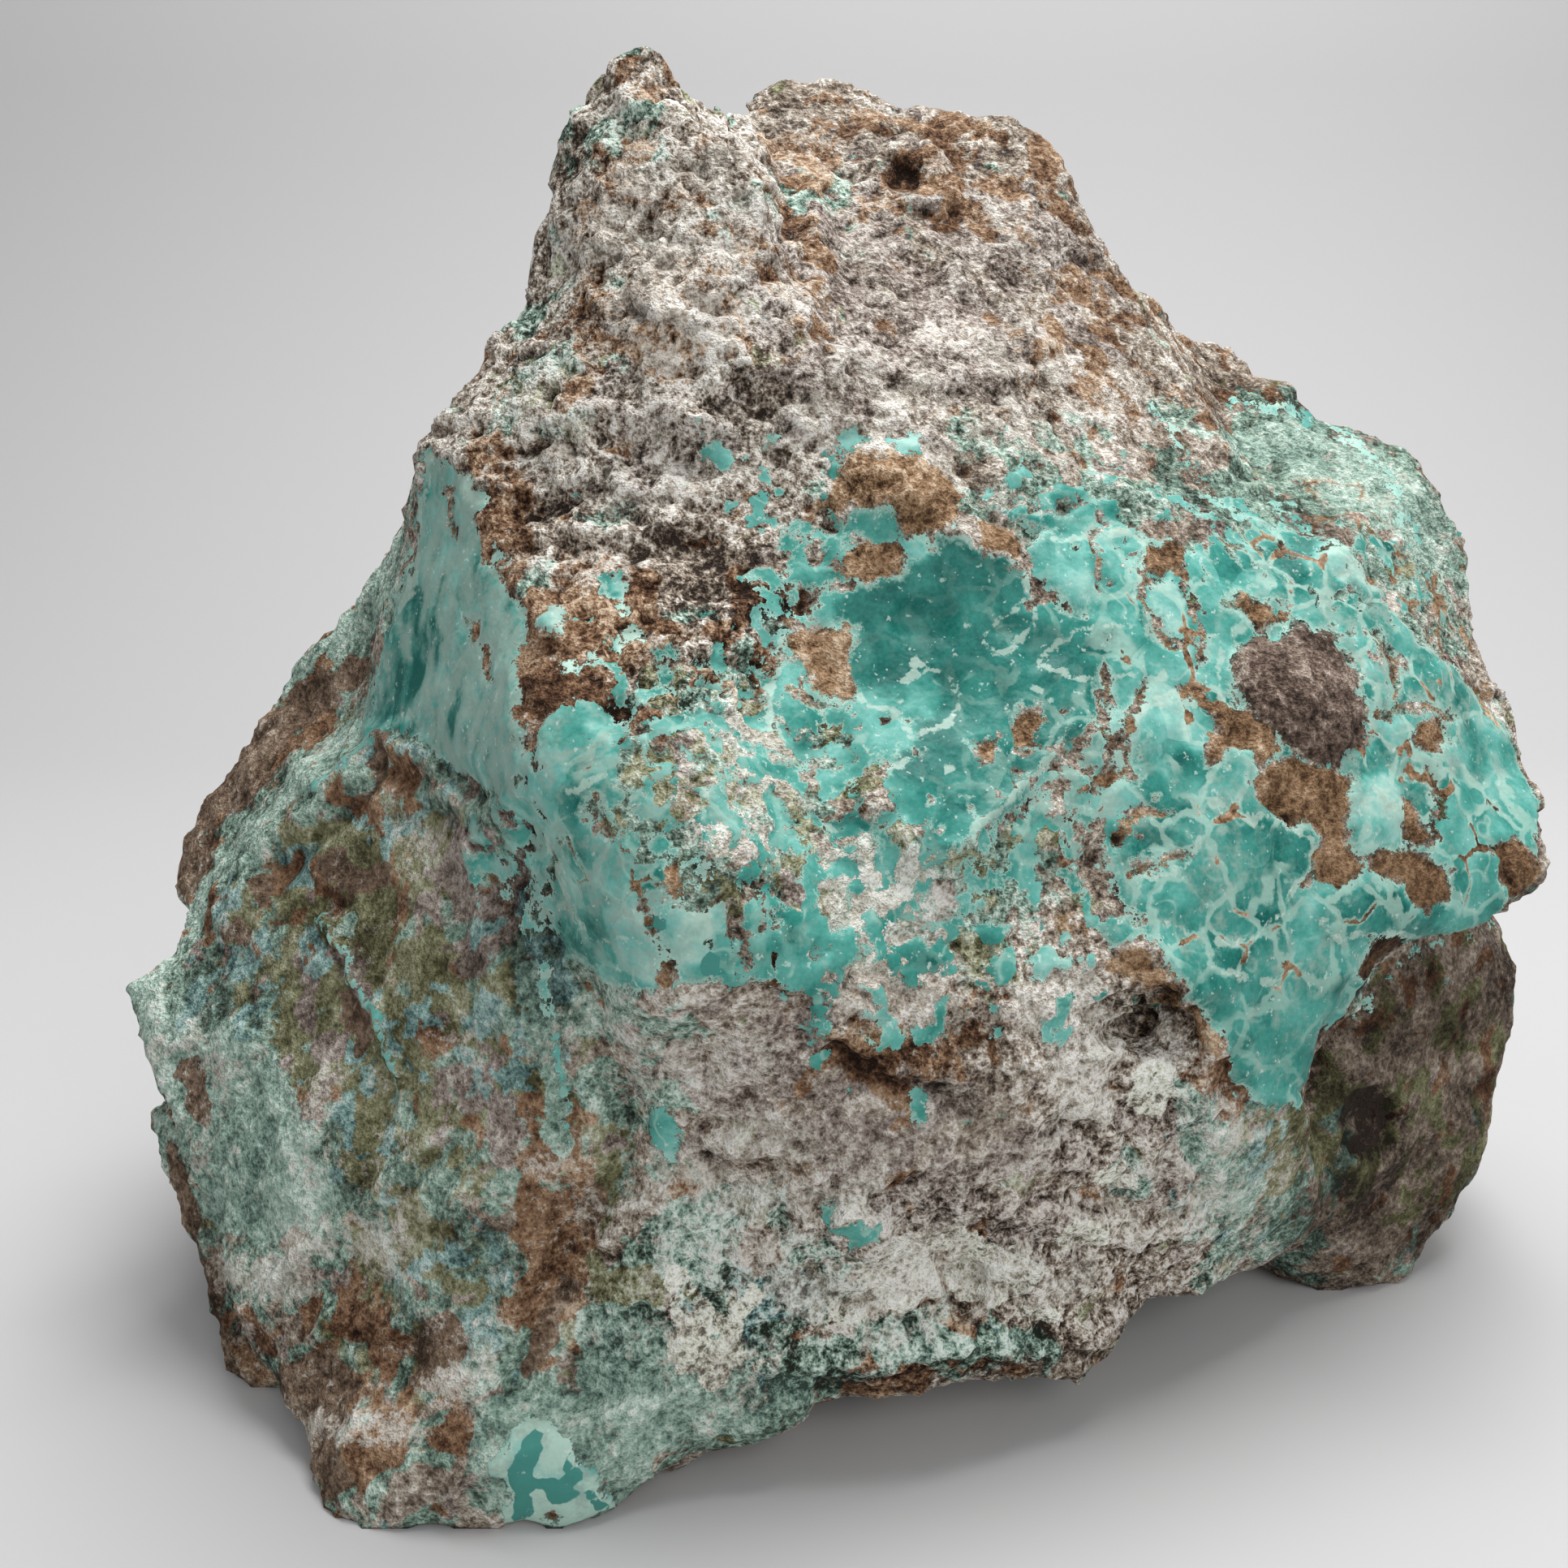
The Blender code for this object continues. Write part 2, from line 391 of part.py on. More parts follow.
def thin(stone):
    """Thin the far side to coarse facets first, and then the whole stone."""
    far_side = stone.vertex_groups.new(name="far_side")
    near = {vert.index for vert in stone.data.vertices if faces_station(vert)}
    far = [vert.index for vert in stone.data.vertices if vert.index not in near]
    far_side.add(far, 1.0, "REPLACE")
    far_count = sum(len(face.vertices) - 2 for face in stone.data.polygons
                    if not near.intersection(face.vertices))
    spare = max(0, far_count - FAR_FACET_COUNT)
    for group, count in (("far_side", triangle_count(stone.data) - spare), ("", FACET_COUNT)):
        thinning = stone.modifiers.new("thin", "DECIMATE")
        thinning.ratio = count / triangle_count(stone.data)
        thinning.vertex_group = group
        apply_modifiers(stone)


def drop_fins(bm):
    """Delete each stray facet that hangs on an edge the surface already closes."""
    fins = [face for face in bm.faces
            if any(len(edge.link_faces) == 1 for edge in face.edges)
            and any(len(edge.link_faces) > 2 for edge in face.edges)]
    bmesh.ops.delete(bm, geom=fins, context="FACES")


def cut_base(stone):
    """Cut the underside flat, level with the surface the stone rests on."""
    bm = bmesh.new()
    bm.from_mesh(stone.data)
    bmesh.ops.dissolve_degenerate(bm, dist=SHORTEST_EDGE, edges=bm.edges)
    drop_fins(bm)
    whole = list(bm.verts) + list(bm.edges) + list(bm.faces)
    cut = bmesh.ops.bisect_plane(bm, geom=whole, plane_co=(0, 0, 0), plane_no=(0, 0, -1), clear_outer=True)
    rim = [piece for piece in cut["geom_cut"] if isinstance(piece, bmesh.types.BMEdge)]
    bmesh.ops.triangle_fill(bm, use_beauty=True, edges=rim, normal=(0, 0, -1))
    bmesh.ops.triangulate(bm, faces=bm.faces)
    bmesh.ops.recalc_face_normals(bm, faces=bm.faces)
    bm.to_mesh(stone.data)
    bm.free()


def matrix_rock():
    """The grey-brown host rock."""
    material = bpy.data.materials.new("matrix_rock")
    material.use_nodes = True
    shader = material.node_tree.nodes["Principled BSDF"]
    shader.inputs["Base Color"].default_value = ROCK_COLOUR
    shader.inputs["Roughness"].default_value = ROCK_ROUGHNESS
    shader.inputs["Metallic"].default_value = 0
    return material


def build():
    for thing in list(bpy.data.objects):
        bpy.data.objects.remove(thing)
    bm = bmesh.new()
    add_main_block(bm)
    add_lobe(bm, REAR_LOBE)
    add_lobe(bm, DARK_SLAB)
    stone = new_object("turquoise_nugget", bm)
    fuse(stone)
    reshape(stone)
    thin(stone)
    cut_base(stone)
    stone.data.materials.clear()
    stone.data.materials.append(matrix_rock())


build()
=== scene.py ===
"""The looks of the raw turquoise nugget: its fine surface, its markings and a plain studio.

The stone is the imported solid, copied, refined and given its finer relief. Its markings are laid out
on the same upright sheet as the solid: a place is (across, down) in millimetres from the sheet's
left and top edges, where the line of sight from the viewing station crosses it. What faces away
from the station has no marks of its own and takes its pattern from solid noise.
"""
import math

import bmesh
import bpy
import numpy as np
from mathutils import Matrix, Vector, noise
from mathutils.bvhtree import BVHTree


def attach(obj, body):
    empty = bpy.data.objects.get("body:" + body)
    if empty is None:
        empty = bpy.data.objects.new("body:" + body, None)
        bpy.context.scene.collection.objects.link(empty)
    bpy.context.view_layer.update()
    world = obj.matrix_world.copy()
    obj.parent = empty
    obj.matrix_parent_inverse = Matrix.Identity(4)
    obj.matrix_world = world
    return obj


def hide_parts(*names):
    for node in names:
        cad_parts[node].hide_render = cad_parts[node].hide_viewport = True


MM = 0.001

# The viewing station and its sheet, as in the solid's own source.
STATION = Vector((-9.6, -215.5, 124.0)) * MM
SIGHT_PITCH = math.radians(14.3)
SHEET_DISTANCE = 198 * MM
SHEET_MIDDLE = 96.6

# The camera stands at the station. Its picture is as wide as 193.2 mm of the sheet.
SENSOR_WIDTH = 36.0
PICTURE_WIDTH = 193.2
CAMERA_NEAR = 10 * MM

# The studio, in metres: a floor that curves up into a wall, two soft lights and a pale sky.
FLOOR_FRONT, FLOOR_BACK, WALL_TOP, STAGE_HALF_WIDTH = -1.2, 0.55, 1.6, 1.6
STAGE_CURVE, CURVE_STEPS = 0.25, 12
BACKDROP_COLOUR, BACKDROP_ROUGHNESS = (0.495, 0.490, 0.490), 0.9
LIGHTS_AIM = (0, 0, 80 * MM)
LIGHTS = {"top_light": ((0.12, 0.10, 0.75), 0.50, 7.0), "front_fill": ((0.35, -0.8, 0.55), 0.6, 3.2)}
SKY_COLOUR, SKY_STRENGTH = (0.96, 0.98, 1.0, 1), 0.45

# How fine the surface is.
EVEN_VOXEL = 1.71 * MM
SMOOTHING_ROUNDS = 3
FRONT_LIMIT = -0.05                 # cosine past which a place counts as facing away
OCCLUDED_BY = 6 * MM                # how far behind another surface a place has to be to be hidden
SEEN_BLUR = 4                       # rounds that soften the line between seen and hidden
SEEN_ENOUGH = 0.3                   # how much of a place has to be seen for finer faces

# Where the markings lie. An outline or a line is written as the across and the down of each of its places
# in turn.
#
# Patches of turquoise: how deep the colour is, from 0 for pale mint to 1 for deep teal and below 0 for
# paler still, and the outline.
TURQUOISE = {
    "right band": (0.5, (127, 66, 131, 63.5, 135.5, 61, 138, 64, 141, 66, 142, 69.5, 146, 68, 150, 66.5,
        155, 64.5, 160, 64.5, 166, 67.5, 169, 72, 173, 76.5, 177, 80, 183, 86, 187, 92, 190, 98, 190, 104,
        187, 110, 184, 114.5, 178, 116, 172, 119.5, 169, 122, 167, 125, 163, 128, 161.5, 133, 160.6, 136,
        156, 136.7, 153, 135, 152, 131, 150, 127, 147.8, 124, 145, 121, 142, 116, 139, 112, 137, 108,
        134, 104, 133, 100, 131, 97, 134, 92, 136.5, 86, 136, 80, 134, 76, 130, 73.5, 127, 71)),
    "pool": (0.86, (111.1, 70, 115.4, 66.3, 116.6, 65.1, 118.4, 66.7, 121.2, 68.2, 123.3, 69.4, 125.5, 70.6,
        126.4, 72.5, 126.6, 75, 130, 74, 134, 76, 137, 79, 136, 84, 135, 88, 132, 91.5, 129.1, 94.5,
        126.3, 96.6, 126.6, 98.3, 124.9, 100.7, 122.2, 101.8, 120.1, 102.8, 118.7, 104.9, 116.7, 104.5,
        114.6, 101.8, 112.2, 100.7, 109.8, 98.3, 108.7, 95.2, 110, 92, 112, 90, 109, 87.5, 105.6, 85.3,
        104.8, 83.8, 104.7, 80.7, 105.3, 79.5, 105.9, 78, 104.4, 77.4, 102.8, 77.1, 103.1, 74, 104.4, 72.5,
        105.6, 71.5, 107.4, 71.9, 108.7, 70.9)),
    "agate beside the pool": (0.48, (105, 85.2, 110, 84, 113.5, 82.8, 115.8, 84.5, 115, 88, 113, 91.5,
        109, 94, 105, 92, 102, 88)),
    "pale polygon": (0.28, (129.5, 66.5, 132, 65, 136, 65.5, 140.6, 66, 141.5, 70, 140.3, 73.2, 136, 74,
        131.5, 73.8, 129.3, 71)),
    "pale cell": (0.14, (139.5, 89.3, 141.1, 86.9, 144.4, 85.6, 147.2, 86.9, 149.3, 88.5, 149.9, 90.5,
        148.4, 92.2, 146, 92.2, 144.8, 94.2, 144, 95.8, 142.7, 95, 141.5, 93.4, 139.1, 91.8)),
    "palest cell": (0.02, (166.8, 97.2, 168.4, 95.5, 170.9, 95.5, 172.5, 97.2, 173.3, 100.3, 172.5, 103.2,
        170.1, 105.2, 168, 104.4, 166.8, 102.4, 165.4, 101.2, 165.6, 99.5)),
    "big cell": (0.7, (136.6, 102.8, 139.5, 100.7, 144, 99.5, 148.9, 98.3, 152.1, 99.1, 154.6, 101.1,
        158.7, 101.6, 161.1, 103.6, 161.9, 105.2, 160.7, 108.1, 158.2, 112.2, 154.6, 115.8, 151.3, 116.7,
        148, 116.2, 145.6, 115, 142.3, 113.8, 141.9, 111.3, 141.1, 108.9, 138.7, 106.9, 136.2, 105.2)),
    "lower right cell": (0.78, (162.3, 111, 164, 109.5, 168, 108.7, 170.9, 109.5, 173.3, 111, 176.2, 113,
        178.2, 115, 176.2, 116.5, 174.2, 116.7, 171.3, 115.4, 169, 116, 166.8, 116.5, 164, 116.2,
        161.9, 115)),
    "tongue": (0.66, (146, 117, 150, 117.5, 153, 117, 156, 116, 160, 113, 162.5, 116.5, 167, 117.5, 169, 121,
        168, 124, 165.6, 126, 163.7, 126.8, 162.5, 129.4, 161.8, 132.9, 160.6, 135, 156, 134.5, 153, 133,
        152, 130, 150, 126, 147, 122, 145, 119.5)),
    "cliff": (0.4, (52.3, 55.5, 56, 57.5, 58.5, 59.8, 60.5, 61.5, 58.8, 63.5, 59.2, 67.5, 60.8, 70.5, 63, 73,
        64.2, 75.5, 64.5, 79, 63.6, 82, 63.8, 85, 63.6, 87.5, 64, 91, 66, 95, 61, 99, 57, 96, 54.5, 93.5,
        50, 90, 46, 91, 44, 92, 46, 84, 47.3, 80, 48.5, 75, 50.5, 70, 51.2, 66, 51.5, 60)),
    "cliff's side": (0.8, (50.5, 70, 52.5, 74, 54.5, 79, 52, 85, 50, 88, 45.5, 88, 47, 80, 48.5, 74)),
    "cliff's lip": (-0.2, (55.6, 58, 57.8, 58.2, 58.6, 60, 60.6, 61, 60.2, 62.4, 57.5, 61.6)),
    "bulge": (0.5, (61, 98, 66, 94.5, 66.5, 89, 70, 86.5, 74, 87, 79, 90, 84, 91, 87, 95, 88, 100, 86, 104,
        88, 108, 90, 112, 91, 117, 88, 121, 82, 122.5, 76, 122, 72, 119.5, 69, 116, 66.5, 112.5, 65, 107.5,
        66, 103, 62.5, 101.5)),
    # Pale mint on the bulge, partly a painted highlight.
    "bulge's pale patch and painted highlight": (0.1, (74.6, 112, 80, 110, 84, 110.5, 88.5, 111, 89, 116, 85, 119, 80, 121,
        75.5, 119.5)),
    "blob under the mound": (0.62, (104.4, 62.1, 110.5, 62.1, 110.8, 65.1, 109.9, 66.7, 105.6, 66.7,
        104.4, 65.1, 101.6, 63.9)),
    "blob left of it": (0.7, (100.7, 65.4, 104, 65, 104.4, 68, 103, 69.4, 100.9, 68.6)),
    "bead chain": (0.6, (96.7, 65, 99.6, 64.6, 100.1, 67, 98, 68.4, 96.4, 67.4)),
    "lower bead chain": (0.62, (97, 71.2, 100.2, 70.6, 100.7, 74.6, 98, 75.6, 96.6, 73.6)),
    "mid patch": (0.55, (110.6, 66, 114.8, 65, 114.6, 68.4, 111.4, 70, 109.6, 69)),
    "chip over the mound": (0.12, (103.1, 54.1, 105.6, 52.3, 107.1, 54.1, 105.6, 55.3, 104.4, 56.9,
        103.1, 56.9)),
    "second chip": (0.1, (108.7, 54.7, 109.3, 53.8, 112.6, 53.5, 113.5, 55.6, 112.9, 56.1, 109, 55)),
    "blob beside the rough": (0.48, (94.6, 84, 96.6, 80.4, 99, 82, 100.8, 85, 101, 90, 99, 93.6, 96, 92,
        95, 88)),
    "vein under the pool": (0.52, (118.4, 106.2, 120, 105.5, 120.2, 110, 120.6, 112.5, 120, 114, 118.7, 113.5,
        118.7, 109)),
    "strip": (0.5, (109, 117.4, 112, 116.2, 115, 116.4, 118.4, 117.4, 116.6, 119.6, 112, 121.4, 110, 119.8)),
    "left of the powder": (0.45, (92, 118, 94, 112, 97, 108, 99.6, 107, 101.6, 110, 102.4, 116, 104.4, 120.6,
        103, 122.4, 97, 122.4, 93, 121)),
    "left arc of the ring": (0.3, (100.8, 148.6, 102.8, 147.4, 103.4, 149.4, 102.9, 151.4, 101.2, 151.6)),
    "lower arc of the ring": (0.45, (103, 151.8, 106, 150.8, 108.4, 150.2, 107.6, 152.6, 104.6, 153.6)),
    "pale ground on the foot": (-0.36, (64.2, 175, 66, 174.2, 67.6, 174.8, 68.6, 176.6, 70, 177.2,
        70.8, 178.4, 71, 179.6, 71.8, 180.6, 73.2, 181.6, 74, 183, 74.6, 184.4, 76.7, 185.2, 76, 186.6,
        73.8, 187.4, 72.4, 188.8, 70.2, 190, 67.2, 189.4, 63.3, 188.9, 62, 188, 62.8, 186.4, 62.9, 184.6,
        62.2, 182.6, 60.8, 181.4, 60.6, 179.8, 62.2, 179, 62.6, 177.4)),
    "small chip": (0.5, (112.2, 135.4, 114.4, 134.8, 114.6, 137.4, 113, 138.9, 112, 137.6)),
    "bright blob": (-0.05, (141.7, 71.3, 144.8, 70.9, 145.6, 73.4, 146.4, 77.1, 144, 77.9, 142.3, 75.8)),
    "teal beside it": (0.78, (139.1, 74.2, 142.3, 75, 144, 77.9, 140.7, 77.5)),
    "teal arch": (0.8, (153.3, 68.5, 156.2, 67.3, 160.7, 67.7, 161.1, 71.8, 159.5, 72.2, 157.4, 70.1,
        154.6, 70.5)),
    "mint streak": (-0.12, (161.5, 67.3, 164.4, 66.4, 167.6, 68.9, 169.3, 72.2, 165.2, 71.8, 162.7, 69.3)),
    "dark oval": (0.92, (138.6, 104.4, 140.2, 102.2, 143, 101.6, 145.8, 102.4, 146.4, 104.2, 144.4, 106,
        141, 106.6)),
    "deep spot in the tongue": (0.95, (163.4, 120.4, 165.4, 119.4, 166.8, 120.8, 165.4, 122.8, 163.6, 122.2)),
    "pool's lower basin": (0.72, (108.6, 95, 112, 96.4, 116, 98, 120, 99, 125, 98.6, 124.2, 101, 120, 103,
        117.6, 105, 114.6, 101.8, 111, 99.6)),
    "drip": (0.25, (80.8, 136, 83.4, 136.4, 84, 140, 83, 143.4, 81, 142, 80, 138.6)),
}

# Deep turquoise with crisp edges, like a map: on the foot's pale ground, and two chips on the bulge.
MAP = (
    (66.2, 175.9, 66.5, 176.8, 66.9, 177, 66.2, 177.8, 66.2, 178.4, 66.9, 178.8, 66, 179.3, 66, 180.6,
        65.3, 181, 65, 181.4, 65.4, 182.2, 66, 182.6, 67, 182.4, 68.3, 182.4, 69, 182.8, 69.8, 182.5,
        69.9, 181.6, 69.6, 180.8, 69.3, 180.1, 69.9, 179.7, 70.1, 179, 70.2, 180.2, 70.5, 180.9, 71.2, 181.1,
        71.9, 181.7, 71.4, 182.6, 70.3, 182.8, 70.2, 183.2, 70.8, 183.8, 70.6, 184.4, 69.4, 184.9, 68.2, 185,
        67.7, 184.4, 67.5, 183.6, 66.8, 183.3, 65.6, 183.2, 65, 183.2, 64.6, 183.8, 65.2, 184.5, 65.4, 185.4,
        65.8, 186.6, 65, 186.5, 64.2, 187.4, 63.5, 187.5, 63.2, 187.1, 63.8, 186.4, 63.4, 185.4, 63.6, 184,
        63, 183.2, 62.7, 181.8, 62.6, 181.2, 63.4, 180.7, 63.5, 179.7, 64.1, 178.9, 64.6, 178.3, 64.5, 177.4,
        65.2, 176.8, 65.9, 176.6),
    (71.8, 183.9, 72.3, 183.6, 73, 183.6, 73.4, 184.5, 74.2, 185.1, 75, 185.4, 75.3, 185.8, 74.9, 186.2,
        74.2, 186.3, 73.5, 186, 73.2, 185.3, 72.6, 184.4), (63.4, 187.9, 63.9, 188, 64.4, 188.8, 63.9, 188.8),
    (86.4, 118.2, 87.8, 117, 88.6, 118.4, 87.6, 120.2, 86.2, 119.8),
    (79.4, 113.4, 81.8, 112.8, 82.4, 114, 80.6, 114.8),
)

# Round beads of turquoise, as (across, down, radius).
BEADS = (
    (68.2, 76.9, 1.9), (76.4, 72, 0.8), (76.9, 73.4, 0.7), (77.2, 75.5, 0.9), (77.4, 78.4, 1),
    (79.2, 78.2, 0.9), (61.4, 68.3, 0.8), (75.8, 79.6, 0.6), (70.4, 82.4, 0.7), (73.2, 80.4, 0.6),
)

# Thin veins of turquoise over the rock, as (half width, places along it).
VEINS = (
    (0.45, (40.2, 113.8, 42.8, 118.8, 45.5, 123.7, 47.8, 129.3, 49.5, 132.3)),
    (0.5, (67, 118, 68, 126, 69, 134, 70, 141)), (0.4, (38, 97, 46, 91.6, 50, 88)),
    (0.55, (152, 49.6, 160, 50.6, 166, 53.4, 171, 58.4, 173, 64)),
    (0.3, (142, 50, 146, 56, 150, 62, 157, 66)),
)

# Pale crust along the turquoise's rims and round its pits, as (half width, places along it), and in spots,
# as (across, down, radius).
PALE_LINES = (
    (0.5, (122, 80.5, 121.6, 78.6, 123.2, 76.4, 125.4, 74.6, 127.4, 74.2, 127.6, 76, 126, 78.6, 124, 80.4,
        122, 80.5)), (0.45, (139.8, 76.8, 134, 77.5, 131, 79, 128.1, 81.4, 131, 82.6, 135.3, 83.3, 140, 83)),
    (0.7, (116.9, 65.1, 119.1, 66.8, 121.2, 68.2, 123, 69.1, 125.5, 70, 126.4, 72.5)),
    (0.6, (131.5, 90.1, 129, 94, 126, 96.6, 123, 100, 120.1, 102.5, 118, 105, 116.7, 105.2)),
    (0.5, (111.1, 83.5, 114.6, 82.6, 118.1, 83.8, 118, 87, 116.6, 89.9, 112.3, 91.1)),
    (0.45, (105.6, 85.3, 108, 87.6, 110, 87.2, 112.3, 89.9)), (0.35, (106, 92, 109, 94.4, 113, 94)),
    (0.55, (148.9, 98.3, 154.6, 101.1, 158.7, 101.6, 161.1, 103.6, 161.9, 105.2)),
    (0.45, (160.7, 108.1, 158.2, 112.2, 154.6, 115.8, 151.3, 116.7, 145.6, 115, 142.3, 113.8)),
    (0.4, (147.4, 103.4, 146.8, 106, 143.6, 107.8, 140.4, 107.6)),
    (0.9, (64, 119.5, 70, 120.4, 76, 122.4, 82, 123.2, 88, 121.6)),
    (0.5, (129.5, 66.5, 136, 65.5, 140.6, 66, 141.5, 70, 140.3, 73.2)),
    (0.45, (139.5, 89.3, 141.1, 86.9, 144.4, 85.6, 147.2, 86.9)), (0.6, (70, 98, 74, 95.6, 79, 96.4)),
    (0.45, (66.8, 103, 69.4, 107, 70, 112, 73, 115.4, 79, 116.6)), (0.5, (84, 93, 87, 97, 86, 102)),
    (0.5, (166, 67.6, 169, 72, 173, 76.5, 177, 80, 183, 86, 187, 92)),
    (0.5, (53.2, 56.4, 52, 62, 51.6, 68, 50.6, 72, 49, 77)), (0.4, (152, 87, 150, 84, 150.6, 79)),
    (0.45, (161.9, 113, 165, 115.8, 171.3, 115, 176, 116.4)), (0.4, (149, 119, 155, 121, 160, 119.6)),
    (0.6, (97, 78.6, 95.2, 82, 94.6, 87, 96, 92)), (0.4, (101, 100, 104, 104, 108, 105, 110, 109)),
)
WHITE_SPOTS = (
    (113.5, 81.3, 0.8), (120, 77.2, 0.6), (127.3, 84.9, 0.8), (129.2, 86.4, 0.5), (116.7, 94.7, 0.8),
    (176.4, 109.5, 0.6), (116.5, 70.8, 0.5), (143.3, 83.4, 0.7),
)

# Iron-brown matrix that shows through the turquoise or lies over it.
OCHRE = {
    "left of the inclusion": (144.6, 85, 147.6, 84.4, 148.9, 86, 152.1, 86.9, 154.6, 88.5, 157, 90.1,
        157.4, 92.2, 156.2, 93.8, 154.6, 94, 154.2, 92.6, 152.1, 92.2, 150.5, 93.8, 148.2, 94, 148.4, 92.2,
        149.9, 90.5, 149.5, 88.1, 147.2, 86.4),
    "under the inclusion": (157.8, 93.4, 161.9, 94.2, 166, 95, 166.8, 95.8, 166, 99.1, 165.2, 100.7,
        166.2, 102.8, 166.8, 105.2, 168, 107.3, 165.2, 108.5, 162.3, 108.1, 161.9, 105.2, 162.7, 103.2,
        161.5, 100.7, 158.7, 101.5, 156.2, 99.9, 154.6, 97.9, 154.2, 95.8, 156.2, 94.2),
    "right stain": (172.9, 98.3, 174.6, 98.7, 175, 100.7, 176.6, 102.8, 175.4, 104.4, 172.9, 104.4,
        172.9, 102, 172.5, 99.9),
    "far right stain": (168.4, 106, 170.9, 105.6, 175, 105.2, 177, 106.4, 178.7, 107.3, 179.1, 110.9,
        176.2, 112.2, 174.2, 111.3, 173.3, 108.9, 171.7, 108.5, 170.1, 107.3),
    "lower edge stain": (168.4, 115.8, 171.3, 115.4, 174.2, 116.7, 173.8, 118.3, 170.9, 119.9, 168.9, 121.1,
        167.6, 119.9, 168, 117.9),
    "tip stain": (184.4, 104.4, 187, 103, 189.4, 105.6, 189, 109, 186, 110.4, 184.6, 108),
    "over the inclusion": (150.1, 74.6, 152.9, 73.4, 155.8, 74.2, 159.5, 75.8, 157.4, 76.7, 155.4, 77.5,
        152.9, 75.4),
    "upper right spot": (141.1, 67.3, 144, 66.4, 146, 68, 145.6, 70.4, 142.6, 70.8, 141.3, 69.6),
    "right crumb": (174.4, 89.6, 177, 88.6, 178, 91, 176.4, 92.6, 174.6, 92),
    "mound": (101.9, 61.1, 103.1, 58.4, 105.6, 56.2, 109.9, 55.6, 113.5, 56.5, 116.6, 58.7, 119.1, 61.7,
        117.8, 62.4, 116.9, 65.1, 114.8, 65.4, 110.5, 65.1, 110.5, 62.4, 107.4, 62.1, 104.4, 62.4,
        104.1, 63.6, 101.3, 63),
    "under the mound": (105.6, 66.9, 111, 66.9, 111.4, 70, 107.6, 71.8, 104.6, 71.4, 103, 70, 104.4, 68.2),
    "by the crust": (120.9, 64.2, 125.5, 65.1, 125.8, 69.1, 124, 69.4, 121.5, 67.6),
    "pinkish rough": (97, 78, 103.1, 77.4, 105.9, 78, 105, 80.7, 104.7, 83.5, 105.6, 85.3, 103.1, 86.5,
        100.7, 85.9, 98.9, 83.5, 97.3, 80.7),
    "spot in the pool": (125.4, 88.4, 127.6, 88, 128.6, 89.4, 127.6, 91.2, 128, 92.2, 125.6, 92.6,
        124.8, 90.6),
    "second spot": (120.1, 91.6, 122, 91.4, 122.4, 93.6, 120.8, 94.2),
    "crack over the big cell": (137, 101.6, 139.6, 100, 143.6, 99.5, 143.4, 100.5, 140, 101.4, 138.2, 103.6,
        137.2, 104.8, 136.4, 103.4),
    "crust on the foot": (66.6, 187.2, 67.4, 186.2, 68.6, 186.2, 69.4, 187, 69, 187.8, 67.6, 187.9),
    "crack knot": (133.4, 97.2, 136.6, 95, 138.8, 93.8, 139, 95, 136.4, 96.6, 134, 98),
    "brown over the cave": (136, 118, 139, 116.6, 142, 118, 145, 121.6, 148, 124.8, 150.6, 128, 149, 129.6,
        146, 126, 142, 121.6, 138.6, 120, 136.4, 119.8),
    "bulge pocket": (82.4, 106.6, 84.4, 107.4, 84.2, 110.2, 82.4, 110.8, 81.4, 108.6),
    "bulge lower spot": (80.8, 118, 83, 118.4, 82.8, 121.4, 80.6, 121.6),
}

# Brown cracks across the turquoise, as lines.
CRACKS = (
    (133.3, 97.1, 136.6, 95.4, 138.7, 94.2, 139.5, 87.7, 141.1, 85.6, 141.5, 83.6),
    (136.2, 82.4, 136.6, 86.9, 136.2, 90.1, 138.2, 91.8, 138.7, 94.2),
    (137.4, 101.5, 139.5, 100.3, 143.5, 99.9), (139.5, 107.6, 143, 106.6, 146.8, 104.8),
    (161, 109, 163, 106, 165, 103, 166, 99), (141.5, 70.6, 141.2, 74.6, 142.6, 77.4, 144.6, 80, 147, 79),
    (146, 72, 147, 75, 148.6, 78, 148, 82),
    (73.2, 98.3, 72.5, 100.3, 74.9, 102.7, 77.7, 105.5, 78, 109.3, 80.1, 112.4, 81.5, 117.5, 81.5, 122.4),
    (82.9, 106.5, 84.2, 110.7), (168.6, 106, 173, 105.4, 176, 107), (134.6, 66, 134.9, 69.6, 135.4, 72.8),
    (169, 78, 172, 82, 171.6, 86), (55, 60.5, 55.4, 63.5, 55.9, 66), (58, 76.4, 58.4, 79),
    (59.7, 80, 60.4, 84), (170, 88, 174.6, 87, 179, 88.4), (176, 95, 177.6, 99, 176.8, 103),
)

# The dark brown knot of matrix in the turquoise band.
INCLUSION = (152.1, 80.3, 154.2, 78.3, 157.8, 77.9, 159.9, 76.2, 161.5, 77.5, 164.4, 77.9, 165.8, 81.1,
    167.6, 83.6, 168, 86.9, 168.9, 88.5, 168.4, 91.8, 165.2, 94.2, 161.9, 94, 159.5, 92.2, 157, 90.1,
    154.2, 88.1, 152.5, 85.2, 151.9, 82.4)

